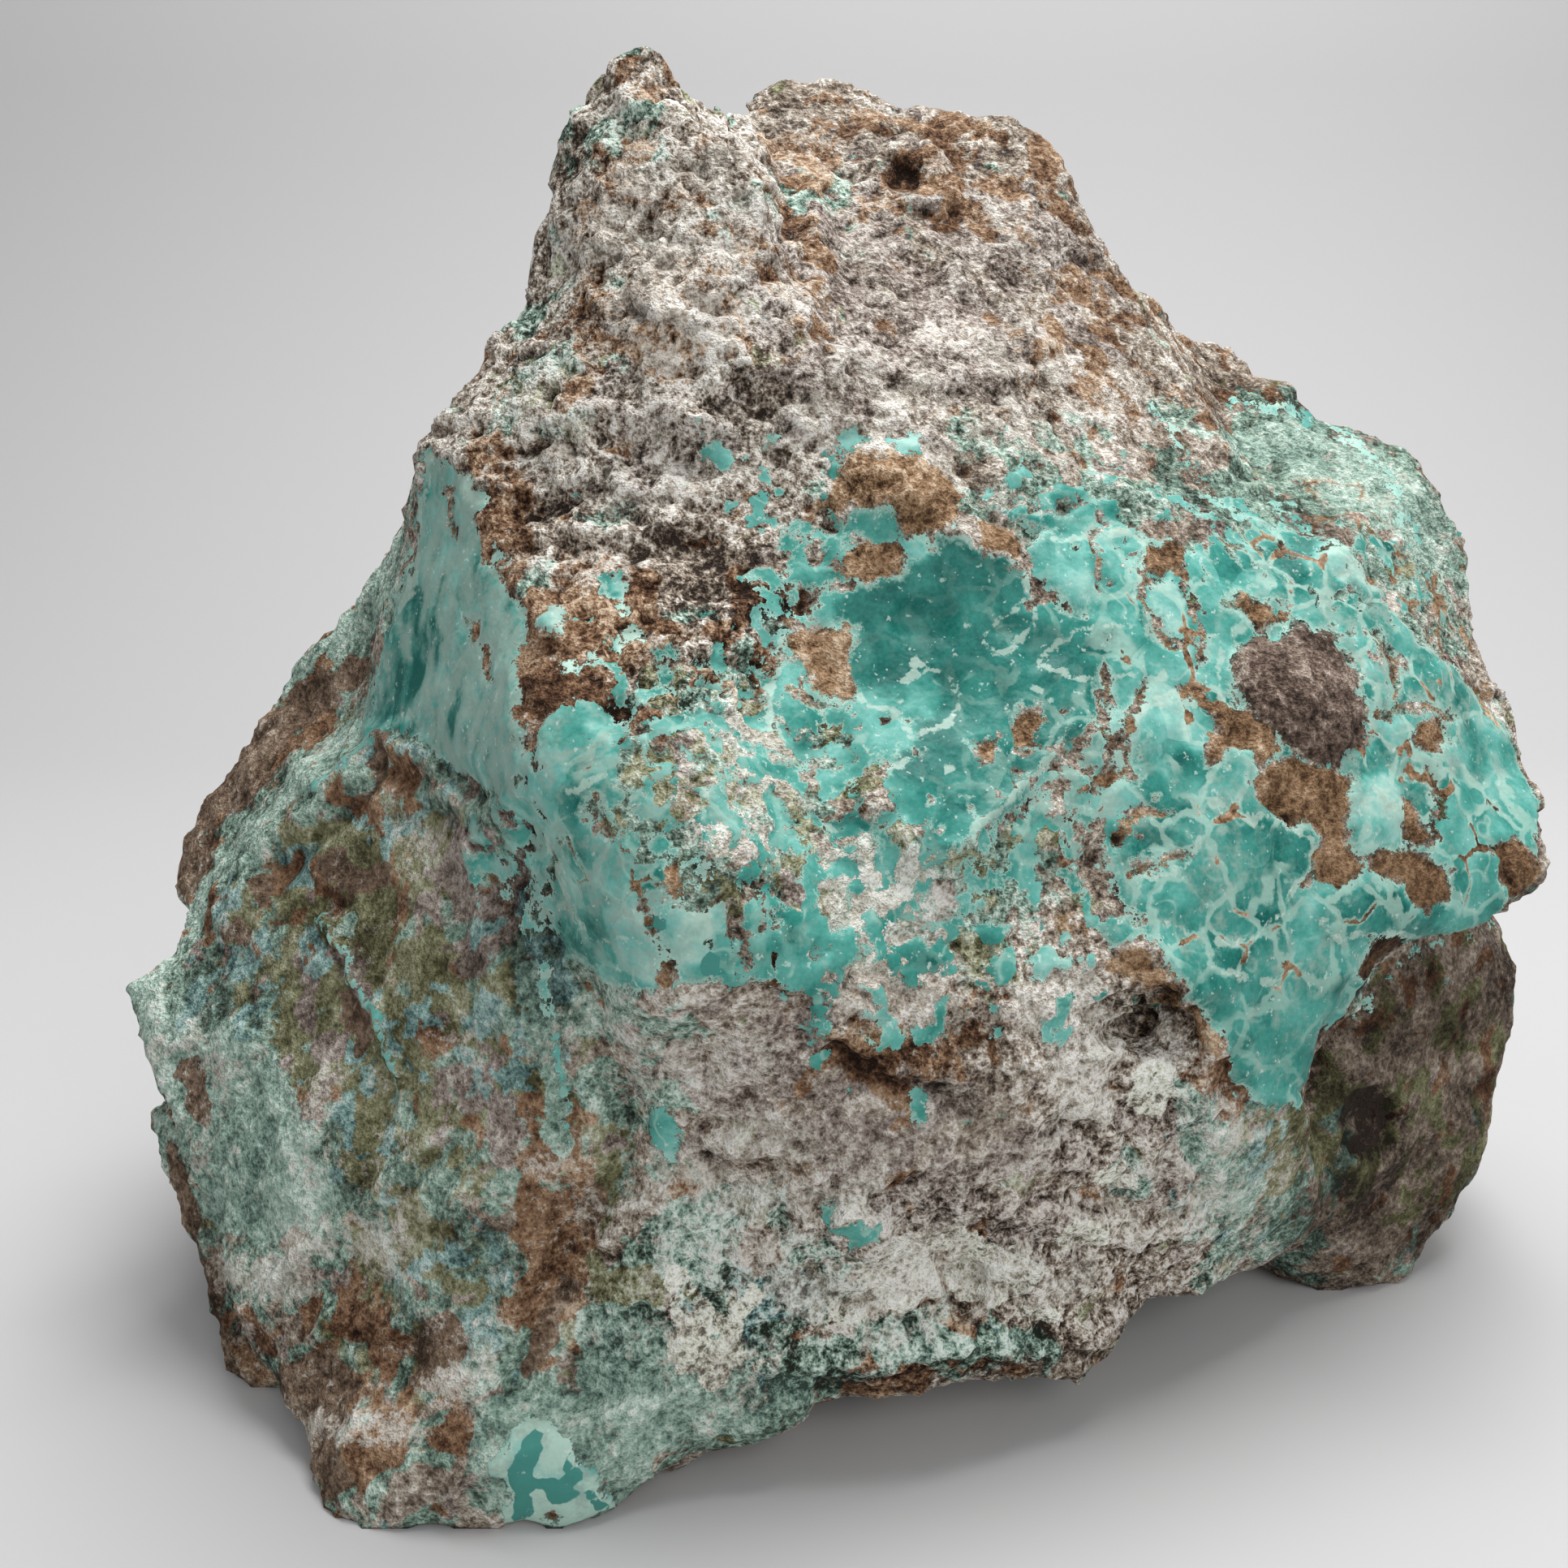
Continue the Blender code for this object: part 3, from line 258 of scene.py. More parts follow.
# Dusty brown rock that shows between the green crusts.
BROWN = (
    (38.5, 106.4, 40.5, 104.4, 43.7, 104.1, 44.4, 106.4, 47, 104.8, 49.6, 106.4, 48.3, 109, 44.4, 109.6,
        43.1, 111.6, 41.1, 109, 39.2, 109),
    (45.7, 88.8, 48.3, 87.5, 49.6, 89.5, 47.6, 94, 46.3, 97.9, 42.4, 99.9, 41.8, 98.6, 45, 96, 45.7, 92.7),
    (30.1, 109, 33.3, 107.7, 34.3, 110.6, 33.5, 112.9, 31.6, 111.8),
    (41.5, 121, 44.4, 123, 46.3, 127.2, 44.4, 129.8, 42, 126.4),
    (26.8, 114, 30, 112.6, 32, 115, 29.6, 117, 27.4, 116),
    (22.3, 102.5, 27.5, 92.7, 35.3, 85.6, 44.4, 79.7, 47, 82.3, 41.8, 86.9, 36.6, 91.4, 32.7, 97.3,
        27.5, 101.2, 26.2, 106.4, 23.6, 111.6, 21, 109), (72.6, 144, 75, 147, 73, 152, 71.4, 154, 70.2, 151),
    (69, 157, 71.6, 158, 69.6, 164, 66.4, 170, 63.6, 171, 65.6, 164),
    (20.6, 140, 22.4, 142, 24.4, 148, 25.6, 154, 27, 160, 28.4, 166, 31, 170, 33, 174, 30, 176, 27, 172,
        23, 166, 20, 156, 18, 146),
    (115.6, 155.4, 118, 154.8, 120.4, 159, 122.4, 161.6, 119.6, 162.4, 117, 159.6),
    (96.4, 143, 99.6, 142, 100.6, 147, 98.6, 152, 96.6, 149),
    (91, 151, 95, 150.4, 97, 154, 94, 157.4, 91.4, 155.4),
    (104, 160, 110, 159, 113, 161.4, 108, 163, 104.4, 162.6),
    (34, 168, 41, 165.6, 45, 170, 42, 177, 44, 183, 40, 186, 36, 180, 33.6, 174),
    (51, 163, 56, 160, 58, 166, 55, 172, 50, 171), (22, 131, 25, 130, 27, 135, 25, 139, 22.4, 137),
)

# Pale green crust over the rock.
MINT = (
    (34, 85, 41.8, 72.6, 47, 68, 50, 62, 50.6, 68, 48.6, 74, 47, 77.8, 39.2, 82, 35, 86.4),
    (49, 87, 44, 92, 38, 98, 34, 101, 32.4, 106, 27, 110, 24, 115, 22, 119, 19.6, 116, 24, 108.6, 30, 102.4,
        33.4, 98, 38, 93, 43.6, 88),
    (8, 121, 15, 118.6, 20, 120, 21, 128, 20.4, 136, 23, 142, 24, 148, 18, 150, 15, 146, 11, 138, 8, 130),
    (63, 118, 68, 119, 69.6, 126, 70, 134, 71, 140, 69, 144, 66.4, 140, 66, 132, 64, 124),
    (82, 148, 88, 146, 91, 150, 90, 157, 86, 160, 81, 157, 80, 152),
    (72, 160, 80, 162, 88, 166, 98, 168.6, 103, 167, 100, 173, 90, 177, 80, 180, 74, 178, 71, 170),
    (150, 53, 160, 50.8, 165, 53, 172, 58, 178, 62, 181, 68, 176, 70, 168, 64, 158, 58, 150, 56),
    (97, 23, 101, 24.6, 105, 26.4, 103, 27.6, 98, 25.6),
    (144, 132, 150, 136, 153, 142, 155, 150, 152, 153, 147, 146, 144.6, 139),
    (136, 143, 140, 142, 142, 146, 139, 149, 136, 147), (40, 112, 43, 110, 45, 113, 43.6, 116, 41, 115),
    (66, 98, 69.6, 100, 71, 106, 72, 112, 69.6, 112, 67, 106),
    (105, 163, 112, 162, 121, 164.4, 128, 163, 127, 166, 118, 167, 108, 167.6),
    (16, 128, 26, 126, 34, 130, 40, 140, 42, 150, 34, 154, 26, 152, 21, 142),
    (57, 174, 63, 171, 70, 171.6, 78, 173, 82, 177, 80, 184, 76, 189, 62, 190, 59, 184),
)

# Broad shares of a look, as (share, across, down, half width, half height). The strongest one counts.
# Turquoise and rock that are torn into one another.
MOTTLED = (
    (0.95, 86, 95, 10, 12), (0.85, 95, 103, 9, 14), (0.8, 93, 88, 7, 6), (0.66, 118, 112, 17, 12),
    (0.4, 74, 79, 6, 7), (0.7, 99, 72, 6, 8), (0.85, 101, 92, 8, 7), (0.55, 110, 124, 12, 7),
    (0.48, 96, 60, 10, 6), (0.6, 132, 62, 12, 4), (0.55, 150, 66, 18, 5), (0.55, 170, 72, 8, 8),
    (0.7, 131, 98, 8, 8), (0.62, 64, 104, 5, 9), (0.6, 126, 105, 8, 6), (0.66, 104, 118, 5, 5),
)

# Copper-green stain in the rock.
STAINED = (
    (0.8, 90, 98, 12, 14), (0.7, 112, 110, 14, 8), (0.85, 46, 122, 27, 38), (0.6, 56, 165, 24, 24),
    (0.75, 88, 172, 18, 8), (0.7, 166, 66, 18, 15), (0.8, 156, 146, 7, 11), (0.75, 32, 90, 15, 26),
    (0.4, 74, 17, 6, 7), (0.6, 100, 27, 10, 5), (0.85, 66, 118, 5, 24), (0.75, 90, 160, 12, 10),
    (0.7, 116, 164, 10, 6), (0.6, 78, 134, 8, 10), (0.45, 66, 46, 6, 8), (0.55, 128, 60, 16, 6),
    (0.45, 112, 106, 14, 8),
)

# Olive-green stain.
OLIVE = (
    (0.95, 42, 118, 8, 14), (0.9, 50, 106, 7, 5), (0.75, 46, 128, 12, 12), (0.6, 56, 128, 8, 18),
    (0.7, 160, 138, 5, 8), (0.6, 70, 140, 6, 8), (0.5, 44, 98, 5, 9), (0.5, 52, 158, 10, 10),
    (0.45, 74, 46, 10, 6), (0.4, 95, 40, 8, 6), (0.55, 78, 162, 8, 6), (0.55, 92, 100, 12, 14),
    (0.5, 115, 112, 14, 10), (0.45, 174, 132, 12, 20),
)

# Iron-brown stain.
RUSTED = (
    (0.9, 70, 82, 9, 11), (0.8, 62, 66, 4, 9), (0.64, 84, 36, 9, 9), (0.6, 81, 22, 6, 6), (0.6, 72, 38, 4, 8),
    (0.8, 87, 34, 3, 3), (0.55, 98, 32, 4, 8), (0.42, 66, 54, 8, 6), (0.8, 110, 130, 9, 4),
    (0.62, 40, 172, 14, 12), (0.45, 38, 110, 8, 8), (0.5, 48, 96, 6, 8), (0.55, 116, 20, 22, 8),
    (0.5, 152, 50, 8, 4), (0.72, 118, 158, 4, 5), (0.75, 68, 152, 5, 12), (0.72, 114, 171, 9, 4),
    (0.55, 134, 40, 9, 12), (0.75, 150, 132, 4, 7), (0.55, 112, 126, 12, 5), (0.6, 22, 104, 6, 12),
    (0.6, 96, 80, 9, 8), (0.6, 80, 9, 4, 3), (0.4, 76, 24, 6, 6), (0.3, 172, 128, 18, 26),
    (0.7, 36, 86, 5, 8),
)

# Grey clay.
CLAYEY = (
    (0.62, 41, 124, 4, 8), (0.66, 60, 110, 6, 12), (0.7, 100, 131, 14, 6), (0.72, 112, 143, 14, 8),
    (0.62, 126, 146, 9, 8), (0.75, 112, 36, 22, 14), (0.6, 82, 50, 12, 8), (0.55, 82, 40, 6, 5),
    (0.62, 68, 92, 4, 8), (0.5, 60, 138, 8, 8), (0.6, 144, 140, 6, 8),
)

# Blue-green crust.
AZURE = (
    (0.85, 38.5, 117.8, 1.5, 2.6), (0.54, 50, 130, 9, 8), (0.66, 48, 97, 6, 6), (0.6, 64, 126, 6, 14),
    (0.6, 28, 120, 6, 12), (0.58, 56, 160, 10, 8), (0.6, 92, 160, 8, 6), (0.6, 152, 142, 6, 10),
    (0.46, 44, 140, 12, 8), (0.5, 84, 168, 10, 6), (0.85, 46.5, 104.5, 2, 2), (0.8, 36.5, 106.5, 1.6, 2.4),
)

# Cream-coloured crust.
CREAM = (
    (1, 110.5, 157, 4.5, 3.6), (1, 123, 157, 5, 2.8), (0.9, 133.5, 152, 2.6, 2), (0.9, 87, 166, 4, 5),
    (0.8, 104, 150, 3, 1.6), (0.7, 92, 160, 3, 3), (0.7, 138, 146, 2.5, 3), (0.6, 96, 168, 3, 2),
    (0.9, 105, 162, 3, 1.6), (0.9, 118, 153, 3, 2), (0.9, 105.4, 149, 2.4, 1.4), (0.8, 142, 134, 3, 3),
    (0.7, 128, 162, 4, 1.4), (0.8, 84, 158, 2, 3),
)

# White dust on the rock.
POWDERED = (
    (0.75, 84, 32, 12, 18), (0.72, 78, 54, 18, 10), (0.6, 100, 60, 12, 8), (0.62, 120, 64, 8, 5),
    (0.34, 50, 150, 20, 24), (0.6, 24, 136, 6, 10), (0.9, 33, 157, 6, 3), (0.7, 42, 152, 8, 3),
    (0.75, 57, 171, 4, 3), (0.7, 45, 176, 8, 2), (0.6, 150, 146, 10, 10), (0.66, 96, 150, 16, 12),
    (0.44, 124, 30, 14, 12), (0.62, 118, 49, 22, 8), (0.42, 104, 30, 12, 14), (0.95, 108, 114, 9, 9),
    (0.75, 91, 97, 9, 9), (0.46, 170, 62, 12, 7), (0.4, 126, 118, 13, 12), (0.95, 131, 124, 6, 4),
    (0.9, 134, 132, 4, 8), (0.8, 116, 156, 12, 3), (0.8, 100, 158, 6, 4), (0.8, 92, 140, 8, 3),
    (0.75, 94, 147, 5, 3), (0.66, 112, 157, 11, 7), (0.66, 126, 156, 9, 6), (0.62, 140, 138, 9, 15),
    (0.6, 78, 16, 6, 5), (0.55, 66, 56, 12, 8), (0.9, 110, 59.5, 8, 5), (0.8, 101, 82, 4, 5),
    (0.72, 110, 122, 9, 5), (0.5, 88, 166, 8, 7), (0.46, 40, 152, 16, 8), (0.5, 130, 66, 10, 5),
    (0.56, 174, 78, 10, 8), (0.56, 70, 68, 9, 5), (0.4, 100, 130, 50, 30), (0.44, 120, 140, 18, 14),
    (0.56, 82, 128, 14, 8),
)

# Painted shade: darker rock in hollows, under overhangs and on the rear lobe, where little light falls.
PAINTED_SHADE = (
    (0.5, 177, 136, 14, 24), (0.35, 142, 124.5, 5, 3), (0.8, 62.3, 172, 1.2, 1), (0.45, 92, 49, 5, 4),
    (0.9, 168.4, 138.6, 3, 4), (0.65, 108, 131, 5, 2), (0.25, 24, 154, 7, 20), (0.45, 110, 171, 10, 3),
    (0.5, 111, 22, 2.2, 1.8), (0.12, 168, 62, 16, 12), (0.5, 68, 104, 2.5, 7), (0.35, 158, 47.4, 5, 3),
    (0.35, 92, 70, 8, 6), (0.45, 66, 112, 3, 10),
)

# Chalky veil over the turquoise.
VEILED = (
    (0.85, 58, 78, 8, 20), (0.55, 49, 80, 5, 12), (0.5, 74, 104, 14, 16), (0.45, 68, 182, 8, 8),
    (0.45, 148, 108, 14, 9), (0.35, 158, 122, 9, 10), (0.5, 170, 84, 14, 14), (0.6, 132, 96, 7, 8),
)

# Turquoise that is split into cells.
CELLULAR = (
    (1, 166, 86, 26, 24), (0.8, 152, 108, 24, 16), (0.6, 78, 104, 14, 14), (0.1, 116, 84, 12, 14),
)

# Turquoise that is drawn out in upright streaks.
STREAKED = (
    (1, 56, 76, 9, 22),
)

# Coarse relief, and smoother rock, which takes away from it.
ROUGH = (
    (1.15, 78, 42, 18, 34), (0.62, 112, 30, 24, 18), (0.7, 112, 48, 20, 8), (1.2, 66, 58, 12, 8),
    (1.15, 112, 158, 36, 12), (1.1, 138, 136, 10, 14), (0.8, 120, 122, 18, 14), (0.6, 36, 166, 18, 16),
    (0.6, 24, 100, 12, 22), (1.1, 84, 78, 12, 10), (1, 96, 62, 14, 8),
)
SMOOTH = (
    (0.8, 50, 118, 18, 26), (0.6, 50, 150, 20, 14), (0.4, 112, 142, 12, 7), (1, 176, 136, 16, 26),
    (0.5, 40, 98, 12, 10), (0.5, 160, 142, 8, 14), (0.5, 60, 176, 20, 10), (0.5, 166, 62, 14, 10),
)

# Relief of the stone's front, besides its noise: rounded lumps and hollows, as (height, across, down,
# half width, half height), and ridges and grooves, as (height, width, places along it).
LUMPS = (
    (-2.5, 79.5, 56.5, 6, 3.2), (-1.5, 85.6, 56.8, 3, 2.5), (-1.5, 65.4, 62.7, 3, 2),
    (-1.3, 55.7, 53.6, 4, 2), (1.2, 71.9, 58.1, 2.5, 1.8), (1, 66.7, 56.8, 2, 1.5), (1.6, 108, 59.5, 8, 5),
    (1, 102, 81.5, 5, 4), (1.5, 97.5, 86, 3.4, 5.5), (1.6, 68.2, 76.9, 2.4, 2.2), (1.2, 81.7, 80.2, 2.6, 1.8),
    (-1.2, 83, 77, 4, 2), (-1.8, 75.8, 88, 2.6, 2.6), (-1, 65.8, 84, 3, 5), (-4, 142.5, 126, 6.4, 3.8),
    (1.5, 138, 132, 6, 4), (-1.2, 131.8, 140.2, 4, 3), (1.8, 111.5, 157, 5.5, 3.8),
    (1.5, 136, 151.5, 5.5, 2.2), (1.2, 124, 156, 5, 2.6), (-1.8, 119, 158.4, 2.6, 3),
    (-1.2, 116.4, 161, 3.5, 1.5), (-3.5, 168.9, 138.8, 3.4, 3.8), (1, 80.8, 146.8, 2.2, 2.6),
    (1.2, 90.5, 141, 4, 2.2), (1.6, 104.8, 151.4, 4.2, 3), (1.2, 86.6, 165.7, 4.4, 4.4),
    (-1, 111.3, 21.9, 1.9, 2.8), (1.8, 112, 18.4, 2.6, 1.8), (1.4, 114.8, 20, 1.8, 2.8),
    (1.6, 87.9, 34.5, 3.6, 2.6), (1.4, 78.4, 38.6, 6, 5), (1.3, 72.8, 30, 3, 3), (-1.4, 94, 49, 4, 2.5),
    (0.9, 152, 64, 5, 2), (-1.2, 150, 58, 8, 2.4), (1.2, 168, 66, 5, 4), (1, 158, 55, 5, 3),
    (-1, 164, 61, 4, 2.4), (-1.4, 59, 97, 2.6, 2.6), (1, 44, 106, 5, 5), (-0.9, 38, 118, 5, 6),
    (0.9, 50, 130, 6, 6), (1.2, 30, 112, 4, 5), (-1.2, 33, 98, 4, 5), (1.4, 36, 92, 4, 5),
    (1.2, 20, 130, 4, 6), (-1.3, 60, 157, 3, 6), (1.2, 54, 150, 5, 6), (1, 44, 165, 6, 5),
    (-1.2, 70, 138, 3, 4), (-0.9, 124.6, 77.4, 2.2, 1), (0.9, 141.5, 89.5, 4, 3.4), (1, 169.5, 100, 4, 4),
    (0.9, 148, 107, 10, 7), (-0.8, 142.3, 104, 2.2, 1.4), (0.9, 168, 113, 6, 3.4), (-1.3, 119, 86, 5, 4),
    (-1.2, 114, 77, 4, 3), (1.1, 132, 70, 4, 4), (-1, 128, 80, 3, 2), (0.9, 80, 112, 7, 5),
)
FOLDS = (
    (1.5, 2, (72.6, 51, 77.8, 51.6, 81.7, 49.7, 86.2, 53)),
    (1, 1.5, (63.5, 65.9, 70, 65.3, 77.8, 65.9, 83, 64)), (-1.1, 1.4, (64, 67.6, 71, 67.4, 78, 67.4)),
    (-0.9, 1, (90.8, 46.4, 93.4, 50.3, 97.9, 52.9)), (1, 1.3, (92.2, 45.2, 96, 49.7, 99.4, 52.4)),
    (1.3, 1.3, (136, 124.8, 137.4, 122, 140.9, 121, 145.1, 122.7, 147.9, 126.2, 150.7, 129)),
    (1.3, 2.2, (108, 153.5, 112.2, 152.8, 117.8, 152.8, 122, 150, 129, 149.3, 134.6, 150)),
    (1.3, 1.7, (100, 168.6, 108, 167.5, 118.5, 166.1, 129, 166.1, 136, 163.3, 138.8, 160.5)),
    (-1.6, 1.6, (101, 172, 110, 170.8, 120, 169.6, 129, 169, 135, 167)),
    (1.2, 1.7, (133.9, 136, 138.1, 138.1, 141.6, 141.6, 140.9, 147.2, 140.9, 152.8)),
    (-1.2, 1.5, (147.2, 140.9, 149.3, 150)), (-1.4, 1.5, (149.3, 124.8, 152.1, 129.7, 151.4, 134.6)),
    (-1.6, 2.5, (72.3, 121.5, 76.9, 134.5, 76.9, 143.6, 71, 151.4, 67.8, 160.5, 63.9, 170)),
    (1, 1.2, (96.4, 141, 101.6, 145.6)), (-0.9, 0.9, (86, 141, 90.5, 148.8, 89.9, 159.2)),
    (-1.5, 1.5, (102.9, 129.3, 109.4, 133.2, 115.9, 134.5, 118.5, 136.5)),
    (1.3, 1.7, (102, 127, 110, 131, 117, 132.6)), (1, 2, (58, 181, 79, 173, 105, 166)),
    (1.7, 1.8, (77.5, 12.4, 84.7, 14.3, 87.3, 16.9, 91.8, 18.9, 93.8, 22.8, 94, 27)),
    (-1.8, 1.6, (87.5, 13, 93, 17.2, 96.5, 22, 97.5, 28)), (0.9, 1.5, (110, 25.5, 116, 23.5, 121.5, 24.5)),
    (-1.3, 2, (71, 30, 69, 34, 66, 39)), (1.1, 1.6, (74, 18, 72, 22, 70, 28)),
    (-0.6, 1.3, (84, 41, 86.5, 44, 87, 49.5, 91, 52)), (1.1, 1.6, (100, 24, 101, 32, 99, 40)),
    (-1, 1.6, (104, 28, 106, 36, 112, 42)), (1, 1.8, (112, 30, 120, 36, 131, 38)),
    (-0.9, 1.4, (118, 26, 126, 31, 134, 33)), (1.1, 1.6, (104, 44, 114, 47, 126, 46)),
    (-1.1, 1.3, (119.1, 57.5, 121, 60.5, 122.1, 63.6)),
    (1, 0.8, (116.9, 65.1, 119.1, 66.8, 121.2, 68.2, 123, 69.1, 125.5, 70, 126.4, 72.5)),
    (0.9, 0.9, (131.5, 90.1, 126, 96.6, 120.1, 102.5, 116.7, 105.2)),
    (0.8, 0.9, (40.2, 113.8, 42.8, 118.8, 45.5, 123.7, 47.8, 129.3, 49.5, 132.3)),
    (0.9, 1.2, (52.5, 140.6, 46.2, 147.8, 41.2, 151.2, 34.6, 157.1, 33, 161)),
    (1.3, 1.6, (55, 98, 50, 92, 46, 91, 42, 96, 34, 103, 28, 112, 24, 118)),
    (-1, 1.4, (52, 96, 47, 95, 42, 101, 36, 107)), (1, 1.8, (58, 104, 60, 116, 64, 130)),
    (-1, 1.6, (64, 100, 66.5, 108, 69, 118)), (-1.2, 1.2, (166.6, 122, 163.4, 127, 161.6, 134)),
)

def shades(*thousandths):
    """The colours of a tone scale, from the thousandths of red, green and blue of each in turn."""
    parts = [number / 1000 for number in thousandths]
    return tuple(zip(parts[::3], parts[1::3], parts[2::3]))


# The rock's tones, from its darkest grains to its palest, and where they stand between 0 and 1.
TONE_STOPS = (0.10, 0.33, 0.50, 0.68, 0.92)
PLAIN_TONES = shades(30, 21, 16, 130, 98, 73, 255, 205, 160, 420, 365, 300, 740, 700, 640)
BROWN_TONES = shades(18, 10, 6, 70, 46, 30, 148, 98, 66, 245, 178, 126, 460, 380, 300)
EARTH_TONES = shades(20, 11, 6, 110, 60, 30, 225, 135, 72, 350, 225, 135, 560, 440, 310)
RUST_TONES = shades(14, 7, 4, 78, 38, 20, 178, 100, 56, 300, 190, 115, 560, 430, 310)
KNOT_TONES = shades(12, 9, 7, 55, 37, 28, 125, 87, 67, 235, 177, 142, 480, 420, 360)
CLAY_TONES = shades(20, 14, 11, 100, 77, 62, 215, 172, 145, 360, 310, 272, 620, 570, 520)
OLIVE_TONES = shades(18, 16, 8, 76, 72, 34, 168, 165, 88, 300, 300, 190, 540, 560, 440)
GREEN_TONES = shades(16, 22, 16, 68, 100, 78, 155, 233, 184, 300, 415, 340, 600, 700, 620)
MINT_TONES = shades(40, 64, 52, 130, 205, 166, 245, 350, 290, 380, 500, 422, 640, 722, 655)
AZURE_TONES = shades(20, 40, 40, 85, 152, 142, 180, 292, 268, 330, 470, 435, 600, 700, 665)
CREAM_TONES = shades(140, 125, 100, 420, 400, 330, 660, 660, 560, 760, 770, 670, 840, 850, 780)
DUST_TONES = shades(190, 165, 135, 340, 305, 255, 460, 425, 365, 570, 540, 480, 720, 700, 650)

# The turquoise's own colours, from pale mint at depth 0 to deep teal at depth 1, and what lies on it.
TEAL_STOPS = ((0.0, (0.250, 0.490, 0.433)), (0.20, (0.155, 0.422, 0.370)), (0.45, (0.075, 0.312, 0.264)),
              (0.70, (0.030, 0.215, 0.178)), (1.0, (0.002, 0.098, 0.080)))
MAP_TEAL = (0.055, 0.240, 0.205)
RIM_PALE = (0.405, 0.580, 0.495)
CRUST_WHITE = (0.470, 0.590, 0.510)
CHALK_GREEN = (0.275, 0.365, 0.315)
SPECK_WHITE = (0.600, 0.680, 0.620)

# The rock's stains and crusts, each laid over the ones before it. A layer's share comes from ovals, with
# the share elsewhere on the front, or from outlines, with the width of their blur. On the side away it
# is a mean, and a swing in waves of a size and a seed. Then come the size and seed of its edges' waves,
# how much the share counts, how high it has to be, its tones, and whether they are calm.
LAYERS = {
    "stain": (STAINED, 0.10, (0.45, 0.6, 40, 15), (6.5, 7), 0.55, -0.02, GREEN_TONES, False),
    "olive": (OLIVE, 0.10, (0.25, 0.4, 30, 18), (5.0, 6), 0.55, 0.00, OLIVE_TONES, True),
    "clay": (CLAYEY, 0.25, (0.40, 0.4, 30, 26), (5.0, 5), 0.60, 0.02, CLAY_TONES, False),
    "azure": (AZURE, 0.10, (0.20, 0.4, 24, 27), (4.0, 4), 0.60, 0.08, AZURE_TONES, False),
    "rust": (RUSTED, 0.20, (0.40, 0.4, 22, 17), (4.5, 8), 0.60, 0.02, RUST_TONES, True),
    "mint": (MINT, 1.8, (0.3, 0.3, 28, 20), (4.5, 16), 0.70, 0.10, MINT_TONES, False),
    "earth": (BROWN, 1.6, (0.2,), (3.6, 17), 0.80, 0.12, BROWN_TONES, True),
    "cream": (CREAM, 0.0, (0.0,), (3.0, 9), 1.00, 0.16, CREAM_TONES, False),
}
OUTLINED = ("mint", "earth")        # the layers whose share comes from outlines

# How the markings are laid out. Distances are in millimetres.
NOWHERE_NEAR = -8.0                 # how far inside an outline a place counts that is far outside it
FIELD_LIMIT, LINE_LIMIT = 6, 3      # distances are cut off here in a patch's field and in a line's
EDGE_REACH = 4.0                    # how far a layer's edge wanders
SHARE_REACH = 12.0                  # how far its whole share would move that edge
OVAL_REACH, OVAL_FADE = 1.6, 0.8    # an oval's share before its fade, and how fast it fades with distance
OUTLINE_BLUR = 0.3
PLAIN_DEPTH, BEAD_DEPTH, VEIN_DEPTH = 0.45, -0.15, 0.2
BEAD_MARGIN, VEIN_MARGIN = 0.3, 0.4
MAP_MARGIN, MAP_STEADINESS = 0.2, 0.7       # the map is drawn a little wider, with less tremor
PALE_THINNING, CRACK_HALF_WIDTH = 0.7, 0.32
MOTTLED_ELSEWHERE, POWDER_ELSEWHERE, ROUGH_ELSEWHERE = 0.05, 0.32, 0.55
POWDER_MOST, ROUGH_LEAST, ROUGH_BEHIND = 0.9, 0.08, 0.8
SMOOTHING_SHARE, STREAK_SHARE, STREAK_SQUEEZE = 0.40, 0.50, (1, 1, 0.16)

# Noise of the shape and of the markings' borders: how far each seed moves a pattern, and the chips' tilts.
WAVE_STEP, KNOB_STEP, CHIP_STEP = (17.3, 5.1, 9.7), (3.1, 11.7, 7.3), (7.9, 2.3, 13.1)
CHIP_SLOPES = ((12.9, 78.2, 37.7), (39.3, 11.1, 83.1), (73.1, 52.2, 9.4))
BEND_REACH = 1.7

# The relief, in millimetres where it is a distance.
CRUST_RISE, KNOT_RISE = 0.45, 0.4
LEVELLING_ROUNDS = 60               # how far broad swells are taken out, so that the solid's form stays
FLOOR_MARGIN = 2.0                  # the relief fades out this near the floor
# Painted shade of the relief: hollows and what faces down are darker, what faces up is paler. Its limit, how
# much it darkens the rock, and how much white dust it clears.
HOLLOW_LIMIT, PAINTED_HOLLOW_SHADE, HOLLOW_SHADE_THINS_DUST = 1.5, 0.36, 0.15

# The finished surface's grain and gloss.
CELL_SIZE = 6.0
CELL_BEND_SIZE, CELL_BEND_REACH = 4.2 * MM, 3.5 * MM
TEAL_SPREAD = 0.45                  # how much the fine grain, and a cell, change the turquoise's depth
CRUST_ROUGHNESS, ROCK_ROUGHNESS, SHINE = 0.42, 0.95, 0.16
BUMP_STRENGTH, BUMP_HEIGHT = 0.9, 0.7 * MM

# Noise of the material: its size in millimetres, its layers, their roughness and a seed.
GRAINS = {
    "fine": (0.85, 2, 0.80, 0), "middle": (1.9, 3, 0.75, 1), "edge": (1.8, 4, 0.75, 3),
    "silk": (2.0, 2, 0.6, 5), "specks": (1.1, 2, 0.75, 12), "chalk": (3.0, 3, 0.78, 15),
    "bands": (8.0, 2, 0.5, 18), "dust": (1.4, 3, 0.85, 20),
}
GRAIN_STEP = (0.31, 0.17, 0.23)
